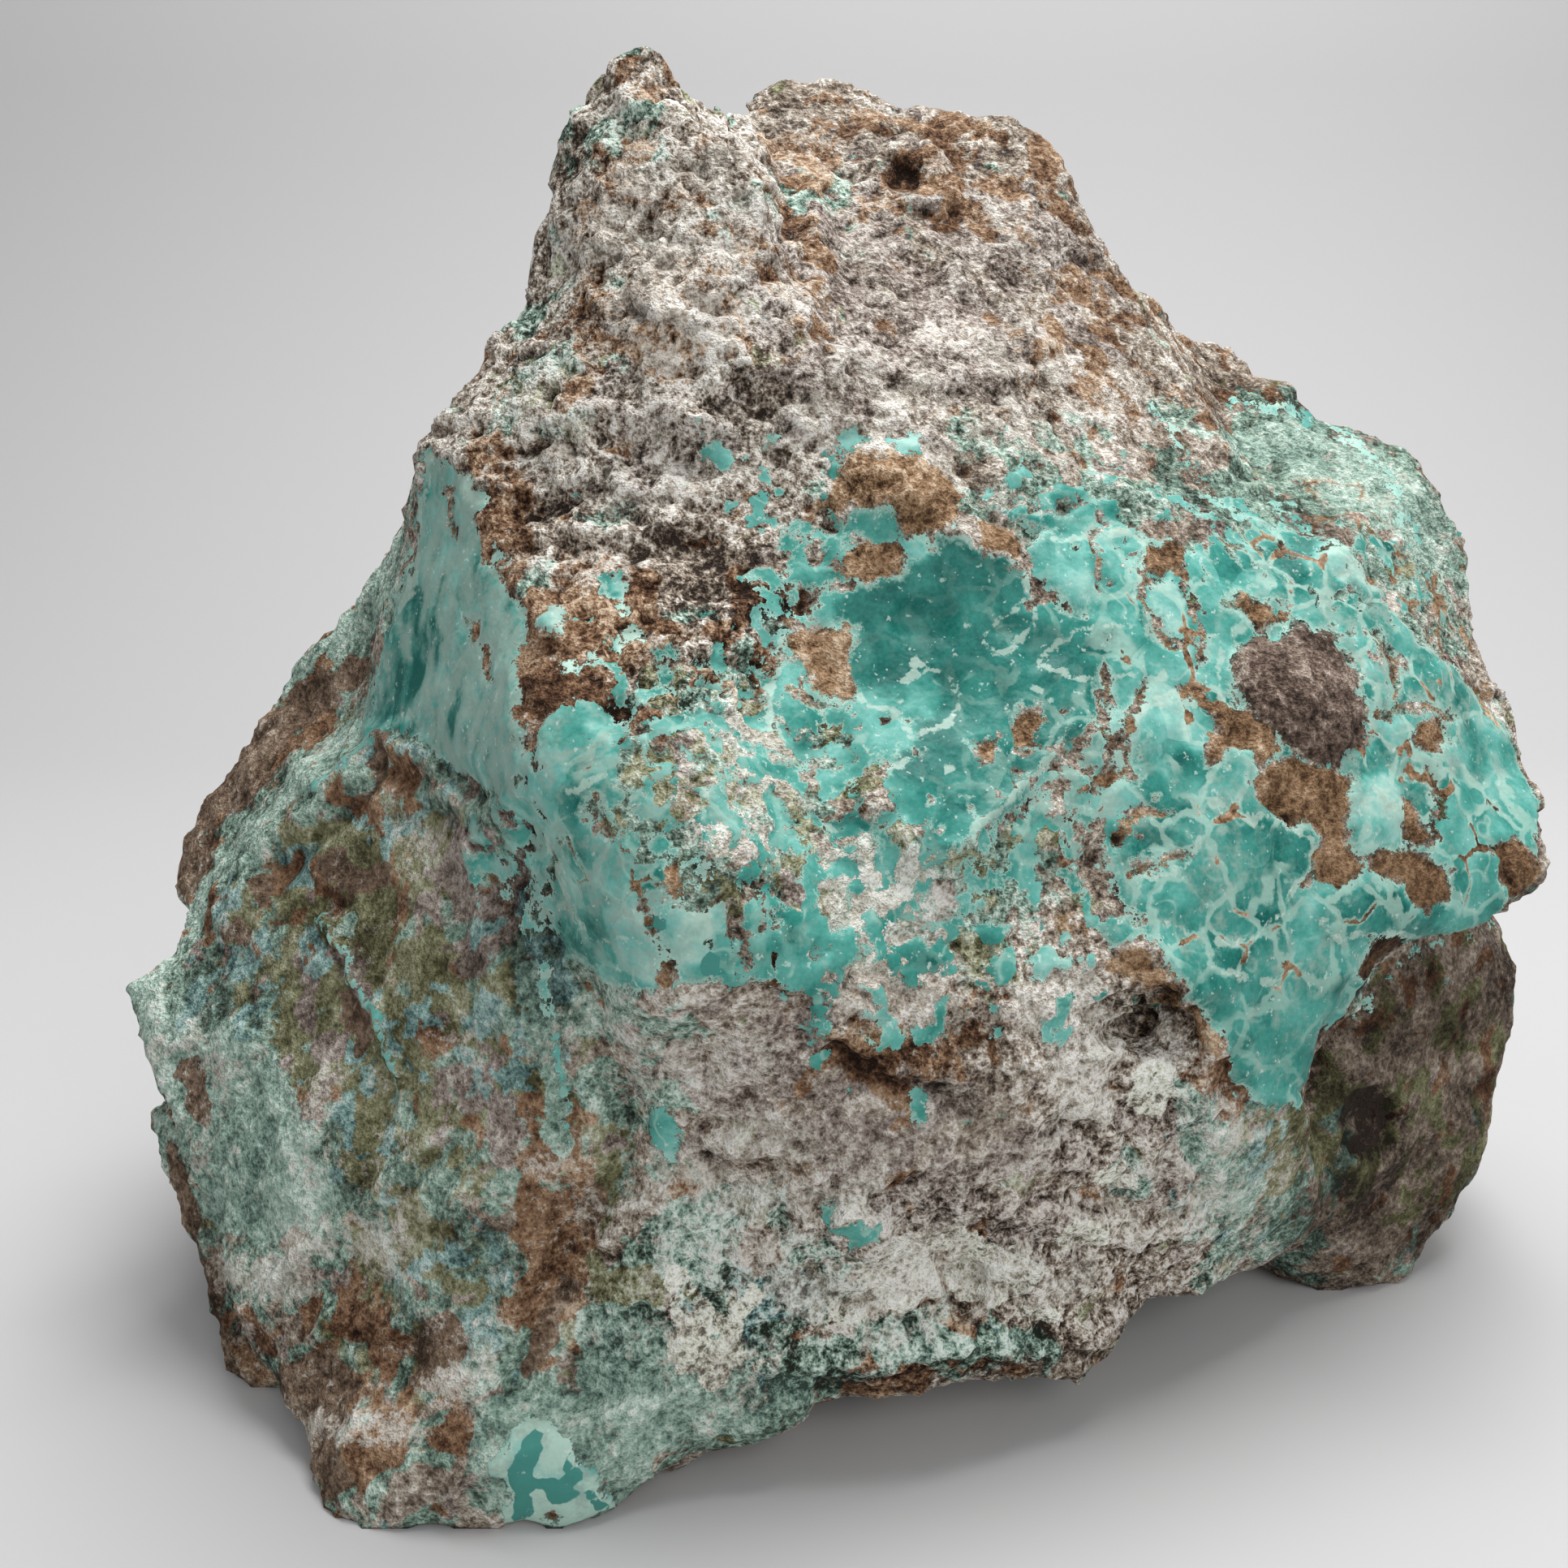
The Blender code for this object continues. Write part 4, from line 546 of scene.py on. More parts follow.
# Where each marking fades in, as the values that give none of it and all of it.
FADES = {
    "layer": (-0.25, 0.25), "brown": (-0.3, 0.3), "knot": (-0.2, 0.2), "crust": (-0.08, 0.08),
    "crack": (0.10, 0.0), "crack gate": (0.0, 0.5), "dust": (0.74, 0.90), "palest": (0.02, -0.25),
    "not deep": (0.95, 0.50), "bands": (0.72, 0.98), "band gate": (0.10, 0.35),
    "cell rim": (0.55, 0.25), "cell gate": (-0.35, 0.05), "rim gate": (0.2, -0.3),
    "pale": (-0.12, 0.12), "veil": (0.58, 0.86), "map": (-0.06, 0.06), "specks": (0.64, 0.70),
}
# How much of what is under it each marking covers.
COVERS = {"dust": 0.75, "bands": 0.45, "cell rim": 0.7, "rim": 0.7, "pale": 0.6, "veil": 0.75, "specks": 0.5}
# How far the torn-edge noise moves a marking's border.
TEARS = {"crack": 0.30, "cell rim": 0.25, "pale": 0.50, "map": 0.12}


def sight_axes():
    """Right, up and forward for a look from the station."""
    right = Vector((1, 0, 0))
    forward = Vector((0, math.cos(SIGHT_PITCH), -math.sin(SIGHT_PITCH)))
    return right, right.cross(forward), forward


def on_sheet(points):
    """Where the lines of sight to the points cross the sheet, in millimetres."""
    right, up, forward = (np.array(axis) for axis in sight_axes())
    away = points - np.array(STATION)
    scale = SHEET_DISTANCE / (away @ forward) / MM
    return np.stack([SHEET_MIDDLE + (away @ right) * scale, SHEET_MIDDLE - (away @ up) * scale], axis=1)


def scaled_places(points, size, seed, step):
    """The points in units of a size, moved along so that each seed reads another part of a pattern."""
    return (points / size + np.array(step) * (seed + 1)).tolist()


def waves(points, size, seed):
    """Smooth noise at each point, about -1 to 1. The points and the size are in millimetres."""
    return np.array([noise.noise(place) for place in scaled_places(points, size, seed, WAVE_STEP)])


def layered(points, size, seed, layers=3):
    """Waves with finer and fainter ones on them."""
    return sum(waves(points, size / 2 ** step, seed + step) / 2 ** step for step in range(layers))


def bend(points):
    """The points, in millimetres, pushed about by noise so that what is laid out on them looks torn."""
    push = [waves(points, 6.0, 30 + axis) + 0.5 * waves(points, 2.6, 33 + axis) for axis in range(3)]
    return points + BEND_REACH * np.stack(push, axis=1)


def knobs(points, size, seed):
    """Rounded knobs with creases between them, 1 on top of a knob and about 0 in a crease."""
    places = scaled_places(points, size, seed, KNOB_STEP)
    return 1 - np.array([noise.voronoi(place)[0][0] for place in places])


def chips(points, size, seed):
    """Tilted flat chips with steps between them, about -1 to 1."""
    places = scaled_places(points, size, seed, CHIP_STEP)
    corners = np.array([tuple(noise.voronoi(place)[1][0]) for place in places])
    slopes = np.sin(corners @ np.array(CHIP_SLOPES) * 5)
    return np.einsum("ij,ij->i", np.array(places) - corners, slopes) + 0.45 * slopes[:, 0]


def ridges(points, size, seed):
    """Sharp crests and rounded dips, about -1 to 1."""
    return 1 - 2.6 * np.abs(waves(points, size, seed))


def terraces(values, steps):
    """Turn smooth values into steps with steep risers between them."""
    scaled = values * steps
    part = scaled - np.floor(scaled)
    return (np.floor(scaled) + part ** 4) / steps


def step_up(low, high, values):
    """0 below low, 1 above high, and a smooth step between."""
    t = np.clip((values - low) / (high - low), 0, 1)
    return t * t * (3 - 2 * t)


def from_line(places, line):
    """How far each place is from a line of places, in millimetres."""
    nearest = np.full(len(places), np.inf)
    line = np.reshape(line, (-1, 2))
    for start, end in zip(line, line[1:]):
        side, away = end - start, places - start
        along = np.clip(away @ side / (side @ side), 0, 1)
        nearest = np.minimum(nearest, np.hypot(*(away - along[:, None] * side).T))
    return nearest


def inside_by(places, outline):
    """How far inside a closed outline each place is, in millimetres; outside it is below zero."""
    across, down = places.T
    inside = np.zeros(len(places), bool)
    closed = np.reshape((*outline, *outline[:2]), (-1, 2))
    for start, end in zip(closed, closed[1:]):
        if start[1] != end[1]:
            crosses = (start[1] > down) != (end[1] > down)
            cross_at = start[0] + (down - start[1]) / (end[1] - start[1]) * (end[0] - start[0])
            inside ^= crosses & (across < cross_at)
    nearest = from_line(places, closed)
    return np.where(inside, nearest, -nearest)


def inside_spot(places, across, down, radius):
    return radius - np.hypot(places[:, 0] - across, places[:, 1] - down)


def furthest_inside(reaches):
    """How far inside any of several shapes each place is."""
    return np.maximum(NOWHERE_NEAR, np.max(reaches, axis=0))


def inside_any(places, outlines):
    return furthest_inside([inside_by(places, outline) for outline in outlines])


def share_of(places, ovals, elsewhere=0.0):
    """The strongest share at each place: full inside an oval, fading out past its edge."""
    share = np.full(len(places), elsewhere)
    for strength, across, down, half_width, half_height in ovals:
        reach = np.hypot((places[:, 0] - across) / half_width, (places[:, 1] - down) / half_height)
        share = np.maximum(share, strength * np.clip(OVAL_REACH - OVAL_FADE * reach, 0, 1))
    return share


class Surface:
    """The stone's mesh as arrays: points, normals and neighbours."""

    def __init__(self, mesh):
        self.mesh = mesh
        ends = np.empty(len(mesh.edges) * 2, np.int32)
        mesh.edges.foreach_get("vertices", ends)
        self.ends = ends.reshape(-1, 2)
        self.count = len(mesh.vertices)
        self.degree = np.bincount(ends, minlength=self.count)
        self.read()

    def read(self):
        flat = np.empty(self.count * 3, np.float32)
        self.mesh.vertices.foreach_get("co", flat)
        self.points = flat.reshape(-1, 3).astype(float)
        self.mesh.vertex_normals.foreach_get("vector", flat)
        self.normals = flat.reshape(-1, 3).astype(float)

    def move(self, shift):
        """Shift each point, and read the new normals."""
        moved = (self.points + shift).astype(np.float32)
        self.mesh.vertices.foreach_set("co", moved.ravel())
        self.mesh.update()
        self.read()

    def spread(self, values, rounds):
        """Blend the values with their neighbours'."""
        first, second = self.ends.T
        for _ in range(rounds):
            total = (np.bincount(first, values[second], self.count)
                     + np.bincount(second, values[first], self.count))
            values = 0.5 * values + 0.5 * total / self.degree
        return values

    def store(self, name, values):
        attribute = self.mesh.attributes.new(name, "FLOAT", "POINT")
        attribute.data.foreach_set("value", values.astype(np.float32))


def seen_from_station(surface):
    """1 where a point faces the station with nothing well in front of it, else 0, softened."""
    faces = [tuple(face.vertices) for face in surface.mesh.polygons]
    tree = BVHTree.FromPolygons(surface.points.tolist(), faces)
    away = surface.points - np.array(STATION)
    distance = np.linalg.norm(away, axis=1)
    ways = away / distance[:, None]
    facing = -np.einsum("ij,ij->i", surface.normals, ways)
    seen = np.zeros(surface.count)
    for number in np.flatnonzero(facing > FRONT_LIMIT):
        hit = tree.ray_cast(STATION, Vector(ways[number]))[3]
        seen[number] = hit is None or hit > distance[number] - OCCLUDED_BY
    return surface.spread(seen, SEEN_BLUR)


def in_scene(name, data):
    """A new object with the data, linked to the scene."""
    thing = bpy.data.objects.new(name, data)
    bpy.context.scene.collection.objects.link(thing)
    return thing


def copy_of_solid(solid):
    """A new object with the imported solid's mesh."""
    mesh = solid.data.copy()
    mesh.transform(solid.matrix_world)
    return in_scene("nugget_surface", mesh)


def drop_crumbs(bm):
    """Delete every loose crumb that the remesh leaves, and keep the stone."""
    waiting = set(bm.verts)
    islands = []
    while waiting:
        reached = [waiting.pop()]
        island = set(reached)
        while reached:
            for edge in reached.pop().link_edges:
                for vert in edge.verts:
                    if vert not in island:
                        island.add(vert)
                        waiting.discard(vert)
                        reached.append(vert)
        islands.append(island)
    largest = max(islands, key=len)
    crumbs = [vert for island in islands if island is not largest for vert in island]
    bmesh.ops.delete(bm, geom=crumbs, context="VERTS")


def round_off(bm):
    """Smooth everything that isn't on the floor, once."""
    verts = [vert for vert in bm.verts if vert.co.z > EVEN_VOXEL]
    bmesh.ops.smooth_vert(bm, verts=verts, factor=0.5, use_axis_x=True, use_axis_y=True, use_axis_z=True)


def even_out(stone):
    """Give the faceted mesh small even faces, and round its facets off a little."""
    remesh = stone.modifiers.new("even", "REMESH")
    remesh.mode = "VOXEL"
    remesh.voxel_size = EVEN_VOXEL
    graph = bpy.context.evaluated_depsgraph_get()
    mesh = bpy.data.meshes.new_from_object(stone.evaluated_get(graph))
    stone.modifiers.clear()
    stone.data = mesh
    bm = bmesh.new()
    bm.from_mesh(mesh)
    drop_crumbs(bm)
    for _ in range(SMOOTHING_ROUNDS):
        round_off(bm)
    bm.to_mesh(mesh)
    bm.free()


def refine_front(stone):
    """Split the faces that the station sees in four."""
    seen = seen_from_station(Surface(stone.data)) > SEEN_ENOUGH
    bm = bmesh.new()
    bm.from_mesh(stone.data)
    bm.verts.ensure_lookup_table()
    edges = [edge for edge in bm.edges if all(seen[vert.index] for vert in edge.verts)]
    bmesh.ops.subdivide_edges(bm, edges=edges, cuts=1, use_grid_fill=True)
    round_off(bm)
    bm.to_mesh(stone.data)
    bm.free()


class Ground:
    """What the markings are laid out on: each point's place in millimetres, and how far it is seen."""

    def __init__(self, surface):
        self.points = surface.points / MM
        self.bent = bend(self.points)
        self.seen = seen_from_station(surface)
        self.tremor = np.stack([0.9 * waves(self.points, 3.2, seed) + 0.5 * waves(self.points, 1.3, seed + 1)
                                for seed in (40, 42)], axis=1)
        self.places = on_sheet(surface.points) + self.tremor

    def front_only(self, values, hidden=NOWHERE_NEAR):
        """The values where the station sees the stone, and the hidden ones elsewhere."""
        return self.seen * values + (1 - self.seen) * hidden

    def mark(self, reach, limit=FIELD_LIMIT):
        """How far inside a marking of the front each point is, cut off at a limit."""
        return np.clip(self.front_only(reach), -limit, limit)

    def share(self, ovals, elsewhere, hidden):
        return self.front_only(share_of(self.places, ovals, elsewhere), hidden)

    def waved(self, mean, swing=0.0, size=1.0, seed=0):
        """A mean value, and a swing about it in waves of a size in millimetres."""
        return mean + swing * waves(self.points, size, seed)


def lay_out_turquoise(places):
    """How far inside the turquoise each place is, and how deep its colour is there."""
    patches = np.full(len(places), NOWHERE_NEAR)
    teal = np.full(len(places), PLAIN_DEPTH)
    for depth, outline in TURQUOISE.values():
        reach = inside_by(places, outline)
        weight = step_up(-OUTLINE_BLUR, OUTLINE_BLUR, reach)
        teal = teal * (1 - weight) + depth * weight
        patches = np.maximum(patches, reach)
    beads = [(inside_spot(places, *bead), BEAD_MARGIN, BEAD_DEPTH) for bead in BEADS]
    veins = [(half_width - from_line(places, line), VEIN_MARGIN, VEIN_DEPTH) for half_width, line in VEINS]
    for reach, margin, depth in beads + veins:
        teal = np.where(reach > -margin, depth, teal)
        patches = np.maximum(patches, reach)
    return patches, teal


def lay_out_pale(places):
    """How far inside the pale crust along the turquoise's rims each place is."""
    lines = [PALE_THINNING * half_width - from_line(places, line) for half_width, line in PALE_LINES]
    return furthest_inside(lines + [inside_spot(places, *spot) for spot in WHITE_SPOTS])


def lay_out_ochre(places):
    """How far inside the iron-brown matrix or a crack each place is."""
    cracks = [CRACK_HALF_WIDTH - from_line(places, line) for line in CRACKS]
    return furthest_inside(cracks + [inside_by(places, outline) for outline in OCHRE.values()])


def store_layers(surface, ground):
    """Store how far inside each of the rock's layers each point is."""
    for name, (shapes, around, away, edge, weight, bar, _, _) in LAYERS.items():
        if name in OUTLINED:
            share = step_up(-around, around, inside_any(ground.places, shapes))
        else:
            share = share_of(ground.places, shapes, around)
        share = ground.front_only(share, ground.waved(*away))
        inside = SHARE_REACH * (weight * (share - 0.5) - bar)
        surface.store(name, EDGE_REACH * layered(ground.bent, *edge) + inside)


def placed_relief(places):
    """The height of the lumps and folds at each place, in millimetres."""
    height = np.zeros(len(places))
    for rise, across, down, half_width, half_height in LUMPS:
        reach = ((places[:, 0] - across) / half_width) ** 2 + ((places[:, 1] - down) / half_height) ** 2
        height += rise * np.exp(-reach * reach)
    for rise, width, line in FOLDS:
        height += rise * np.exp(-(from_line(places, line) / width) ** 2)
    return height


def lay_out_fields(surface, ground):
    """Store the turquoise's markings at every point, and give those that the relief needs."""
    bent, places = ground.bent, ground.places
    patches, teal = lay_out_turquoise(places)
    ochre = lay_out_ochre(places)
    inclusion = inside_by(places, INCLUSION)
    brown = ground.front_only(np.maximum(ochre, inclusion))
    mapped = MAP_MARGIN + inside_any(places - MAP_STEADINESS * ground.tremor, MAP)

    mottled = ground.share(MOTTLED, MOTTLED_ELSEWHERE, ground.waved(0.15, 0.35, 34, 3))
    cells = ground.share(CELLULAR, 0.0, 0.0)
    grains = EDGE_REACH * layered(bent, 3.2, 50) + 6.0 * (mottled - 0.68)
    holes = SHARE_REACH * (0.38 - 0.06 * cells - 0.37 * mottled) - EDGE_REACH * layered(bent, 2.6, 54)
    crust = np.minimum(ground.front_only(patches), -brown)
    crust = np.clip(np.minimum(np.maximum(crust, grains), holes), -FIELD_LIMIT, FIELD_LIMIT)
    clouds = 0.48 - 0.30 * step_up(0.5, 0.9, teal)
    streaks = share_of(places, STREAKED) * layered(ground.points * np.array(STREAK_SQUEEZE), 1.8, 70)

    surface.store("crust", crust)
    teal = ground.front_only(teal + STREAK_SHARE * streaks, 0.42) + clouds * layered(bent, 5.0, 12)
    surface.store("teal", teal)
    surface.store("torn", mottled)
    surface.store("ochre", ground.mark(ochre))
    surface.store("inclusion", ground.mark(inclusion))
    surface.store("cells", cells)
    surface.store("gate", layered(ground.points, 6.0, 62, 2))
    surface.store("map", ground.mark(mapped, LINE_LIMIT))
    surface.store("pale", ground.mark(lay_out_pale(places), LINE_LIMIT))
    surface.store("veil", ground.share(VEILED, 0.0, 0.3))
    return crust, ground.mark(inclusion)


def lay_out_tone(ground):
    """How dark the rock is at each point, from 0 to 1, with painted shade in hollows, under overhangs and on
    the rear lobe, and its share of white dust, which the painted shade thins.
    """
    dust_and_shade = ground.share(POWDERED, POWDER_ELSEWHERE, ground.waved(0.42, 0.3, 26, 16))
    # painted shade: it darkens the rock's tone and thins its white dust, and evenly a little on the side away
    shade = ground.share(PAINTED_SHADE, 0.0, 0.10)
    tone_and_shade = (0.57 + 0.25 * (dust_and_shade - 0.5) - 0.45 * shade
            + 0.22 * layered(ground.bent, 10.0, 44, 2) + 0.16 * waves(ground.bent, 3.6, 46))
    return tone_and_shade, np.minimum(dust_and_shade - 0.35 * shade + 0.36 * layered(ground.bent, 6.0, 24, 4), POWDER_MOST)


def lay_out_rough(ground):
    """How coarse the rock's relief is at each point."""
    rough = share_of(ground.places, ROUGH, ROUGH_ELSEWHERE)
    rough -= SMOOTHING_SHARE * share_of(ground.places, SMOOTH)
    return ground.front_only(np.maximum(rough, ROUGH_LEAST), ROUGH_BEHIND)


def relief(ground, crust, inclusion, rough):
    """The height of the surface at each point: crumbly rock, and smooth raised turquoise."""
    points, bent = ground.points, ground.bent
    matrix = 1 - 0.9 * step_up(-0.6, 0.4, crust)
    ledges = 0.9 * terraces(2 * waves(bent, 17.0, 19), 2.0) + 0.8 * ridges(bent, 21.0, 28)
    lumps = 0.6 * chips(bent, 12.0, 1) + 0.35 * chips(bent, 5.0, 2) + 0.45 * ridges(bent, 8.5, 29)
    crumbs = 0.45 * ridges(bent, 4.0, 21) + 0.30 * ridges(points, 2.2, 22) + 0.20 * waves(points, 1.3, 27)
    pits = -0.9 * step_up(0.30, 0.55, waves(bent, 4.0, 23))
    swells = 0.35 * waves(points, 6.0, 24) + 0.12 * waves(points, 2.4, 25)
    matrix_height = rough * (ledges + lumps + pits) + (0.4 + 0.6 * rough) * crumbs
    height = matrix * matrix_height + (1 - matrix) * (swells + 0.28 * knobs(bent, 5.0, 3))
    return height + (CRUST_RISE * step_up(-0.4, 0.8, crust) + KNOT_RISE * step_up(0, 1.5, inclusion)
                     + ground.front_only(placed_relief(ground.places), 0.0))


def raise_relief(surface, height, tone_and_shade, dust_and_shade):
    """Move the points out by the height, then paint shade into the hollows that this leaves and paler colour
    where the surface faces up; the painted shade also thins the white dust.
    """
    height = height - surface.spread(height, LEVELLING_ROUNDS)
    lift = step_up(0.0, FLOOR_MARGIN, surface.points[:, 2] / MM)[:, None]
    surface.move(surface.normals * height[:, None] * MM * lift)
    # painted shade and light: darker in hollows and where the surface faces down, paler where it faces up
    tilt = surface.spread(surface.normals[:, 2], 2) - surface.spread(surface.normals[:, 2], 40)
    shade_in_hollows = np.clip(surface.spread(height, 8) - height - 0.5 * tilt, -HOLLOW_LIMIT, HOLLOW_LIMIT)
    surface.store("tone_and_shade", tone_and_shade - PAINTED_HOLLOW_SHADE * shade_in_hollows)
    surface.store("dust_and_shade", dust_and_shade - HOLLOW_SHADE_THINS_DUST * shade_in_hollows)


class Paint:
    """Adds nodes to one material's tree."""

    def __init__(self, name):
        self.material = bpy.data.materials.new(name)
        self.material.use_nodes = True
        self.tree = self.material.node_tree
        self.shader = self.tree.nodes["Principled BSDF"]
        self.coordinates = self.add("ShaderNodeTexCoord").outputs["Object"]

    def add(self, kind, **settings):
        node = self.tree.nodes.new(kind)
        for key, value in settings.items():
            setattr(node, key, value)
        return node

    def plug(self, socket, value):
        if isinstance(value, bpy.types.NodeSocket):
            self.tree.links.new(value, socket)
        elif isinstance(value, tuple) and len(value) == 3:
            socket.default_value = (*value, 1)
        else:
            socket.default_value = value

    def fill(self, node, values):
        """Plug values into a node's sockets, and give its first output."""
        for socket, value in values.items():
            self.plug(node.inputs[socket], value)
        return node.outputs[0]

    def field(self, name):
        return self.add("ShaderNodeAttribute", attribute_name=name).outputs["Fac"]

    def sum(self, kind, *values):
        return self.fill(self.add("ShaderNodeMath", operation=kind), dict(enumerate(values)))

    def times(self, first, second):
        return self.sum("MULTIPLY", first, second)

    def scaled(self, value, factor, offset):
        return self.sum("MULTIPLY_ADD", value, factor, offset)

    def total(self, *terms):
        result = terms[0]
        for term in terms[1:]:
            result = self.sum("ADD", result, term)
        return result

    def about(self, value, weight):
        """A value's distance from a half, weighted."""
        return self.times(self.sum("SUBTRACT", value, 0.5), weight)

    def noise(self, name):
        """The noise that GRAINS names, 0 to 1."""
        size, layers, roughness, seed = GRAINS[name]
        mapping = self.add("ShaderNodeMapping")
        mapping.inputs["Location"].default_value = [step * seed for step in GRAIN_STEP]
        place = self.fill(mapping, {"Vector": self.coordinates})
        return self.fill(self.add("ShaderNodeTexNoise"), {
            "Vector": place, "Scale": 1 / (size * MM), "Detail": layers, "Roughness": roughness})

    def bent_place(self):
        """The coordinates pushed about by noise, so that the cells' sides aren't straight."""
        bend_noise = self.add("ShaderNodeTexNoise")
        self.fill(bend_noise, {"Vector": self.coordinates, "Scale": 1 / CELL_BEND_SIZE})
        offset = self.fill(self.add("ShaderNodeVectorMath", operation="SCALE"),
                           {0: bend_noise.outputs["Color"], "Scale": CELL_BEND_REACH})
        return self.fill(self.add("ShaderNodeVectorMath", operation="ADD"), {0: self.coordinates, 1: offset})

    def cells(self, place, feature, output):
        """Voronoi cells."""
        node = self.add("ShaderNodeTexVoronoi", feature=feature)
        self.fill(node, {"Vector": place, "Scale": 1 / (CELL_SIZE * MM)})
        return node.outputs[output]

    def fade(self, name, value):
        """How much of a marking shows, 0 to 1, between the two values that FADES gives it."""
        none, full = FADES[name]
        node = self.add("ShaderNodeMapRange", interpolation_type="SMOOTHSTEP")
        return self.fill(node, {"Value": value, "From Min": none, "From Max": full})

    def mix(self, share, first, second):
        node = self.add("ShaderNodeMix", data_type="RGBA")
        self.fill(node, {"Factor": share, 6: first, 7: second})
        return node.outputs[2]

    def over(self, name, share, under, colour):
        """A colour laid over another one, by as much as COVERS gives it."""
        return self.mix(self.times(share, COVERS[name]), under, colour)

    def blend(self, share, first, second):
        return self.fill(self.add("ShaderNodeMix", data_type="FLOAT"), {0: share, 2: first, 3: second})

    def tones(self, value, colours):
        """One of the rock's five-tone scales."""
        return self.ramp(value, tuple(zip(TONE_STOPS, colours)))

    def ramp(self, value, stops):
        node = self.add("ShaderNodeValToRGB")
        elements = node.color_ramp.elements
        while len(elements) < len(stops):
            elements.new(1)
        for element, (position, colour) in zip(elements, stops):
            element.position = position
            element.color = (*colour, 1)
        return self.fill(node, {0: value})


def stone_material():
    """Rock with brown matrix, and crusts of turquoise over it."""
    paint = Paint("turquoise_rock")
    fine, middle = paint.noise("fine"), paint.noise("middle")
    edge = paint.total(paint.about(paint.noise("edge"), 4.6), paint.about(fine, 0.6))
    grit = paint.total(paint.about(middle, 0.9), paint.about(fine, 1.6))
    rough, tone_and_shade, gate, cells = (paint.field(name) for name in ("rough", "tone_and_shade", "gate", "cells"))
    # the rock's tone field holds its own tone and the painted shade of hollows, overhangs and the rear lobe
    tone = paint.scaled(grit, paint.scaled(rough, 1.1, 0.40), tone_and_shade)
    calm = paint.scaled(grit, paint.scaled(rough, 0.80, 0.34), tone_and_shade)
    place = paint.bent_place()
    border = paint.times(paint.cells(place, "DISTANCE_TO_EDGE", "Distance"), CELL_SIZE)
    crack_width = paint.times(paint.fade("crack gate", gate), cells)
    crack = paint.sum("SUBTRACT", paint.scaled(crack_width, 1.15, -0.60), border)
    crack = paint.scaled(edge, TEARS["crack"], crack)

    ochre = paint.total(paint.field("ochre"), edge)
    torn_crust = paint.total(paint.field("crust"), paint.scaled(edge, paint.field("torn"), edge))
    crust = paint.sum("MINIMUM", torn_crust, paint.sum("SUBTRACT", 0.3, ochre))
    on_crust = paint.fade("crust", crust)
    rock = rock_colour(paint, tone, calm, edge)
    brown = paint.fade("brown", paint.sum("MAXIMUM", ochre, crack))
    rock = paint.mix(brown, rock, paint.tones(calm, EARTH_TONES))
    knot = paint.fade("knot", paint.total(paint.field("inclusion"), edge))
    rock = paint.mix(knot, rock, paint.tones(calm, KNOT_TONES))
    cell_colour = paint.cells(place, "F1", "Color")
    turquoise = turquoise_colour(paint, fine, edge, gate, cells, cell_colour, border, crust)
    shown = paint.times(on_crust, paint.fade("crack", crack))
    paint.plug(paint.shader.inputs["Base Color"], paint.mix(shown, rock, turquoise))
    paint.plug(paint.shader.inputs["Roughness"], paint.blend(on_crust, ROCK_ROUGHNESS, CRUST_ROUGHNESS))
    paint.shader.inputs["Specular IOR Level"].default_value = SHINE

    rock_height = paint.total(paint.times(middle, 1.6), paint.times(fine, 1.1))
    silk_height = paint.scaled(paint.noise("silk"), 0.35, 1.6)
    height = paint.blend(on_crust, rock_height, silk_height)
    bump = paint.fill(paint.add("ShaderNodeBump"), {
        "Strength": BUMP_STRENGTH, "Distance": BUMP_HEIGHT, "Height": height})
    paint.plug(paint.shader.inputs["Normal"], bump)
    return paint.material


def rock_colour(paint, tone, calm, edge):
    """Salt-and-pepper rock with its stains and crusts, painted shade in its hollows, and white dust over all.
    """
    colour = paint.tones(tone, PLAIN_TONES)
    for name, (*_, tones, is_calm) in LAYERS.items():
        share = paint.fade("layer", paint.total(paint.field(name), edge))
        colour = paint.mix(share, colour, paint.tones(calm if is_calm else tone, tones))
    dust = paint.fade("dust", paint.scaled(paint.field("dust_and_shade"), 0.50, paint.noise("dust")))
    return paint.over("dust", dust, colour, paint.tones(tone, DUST_TONES))


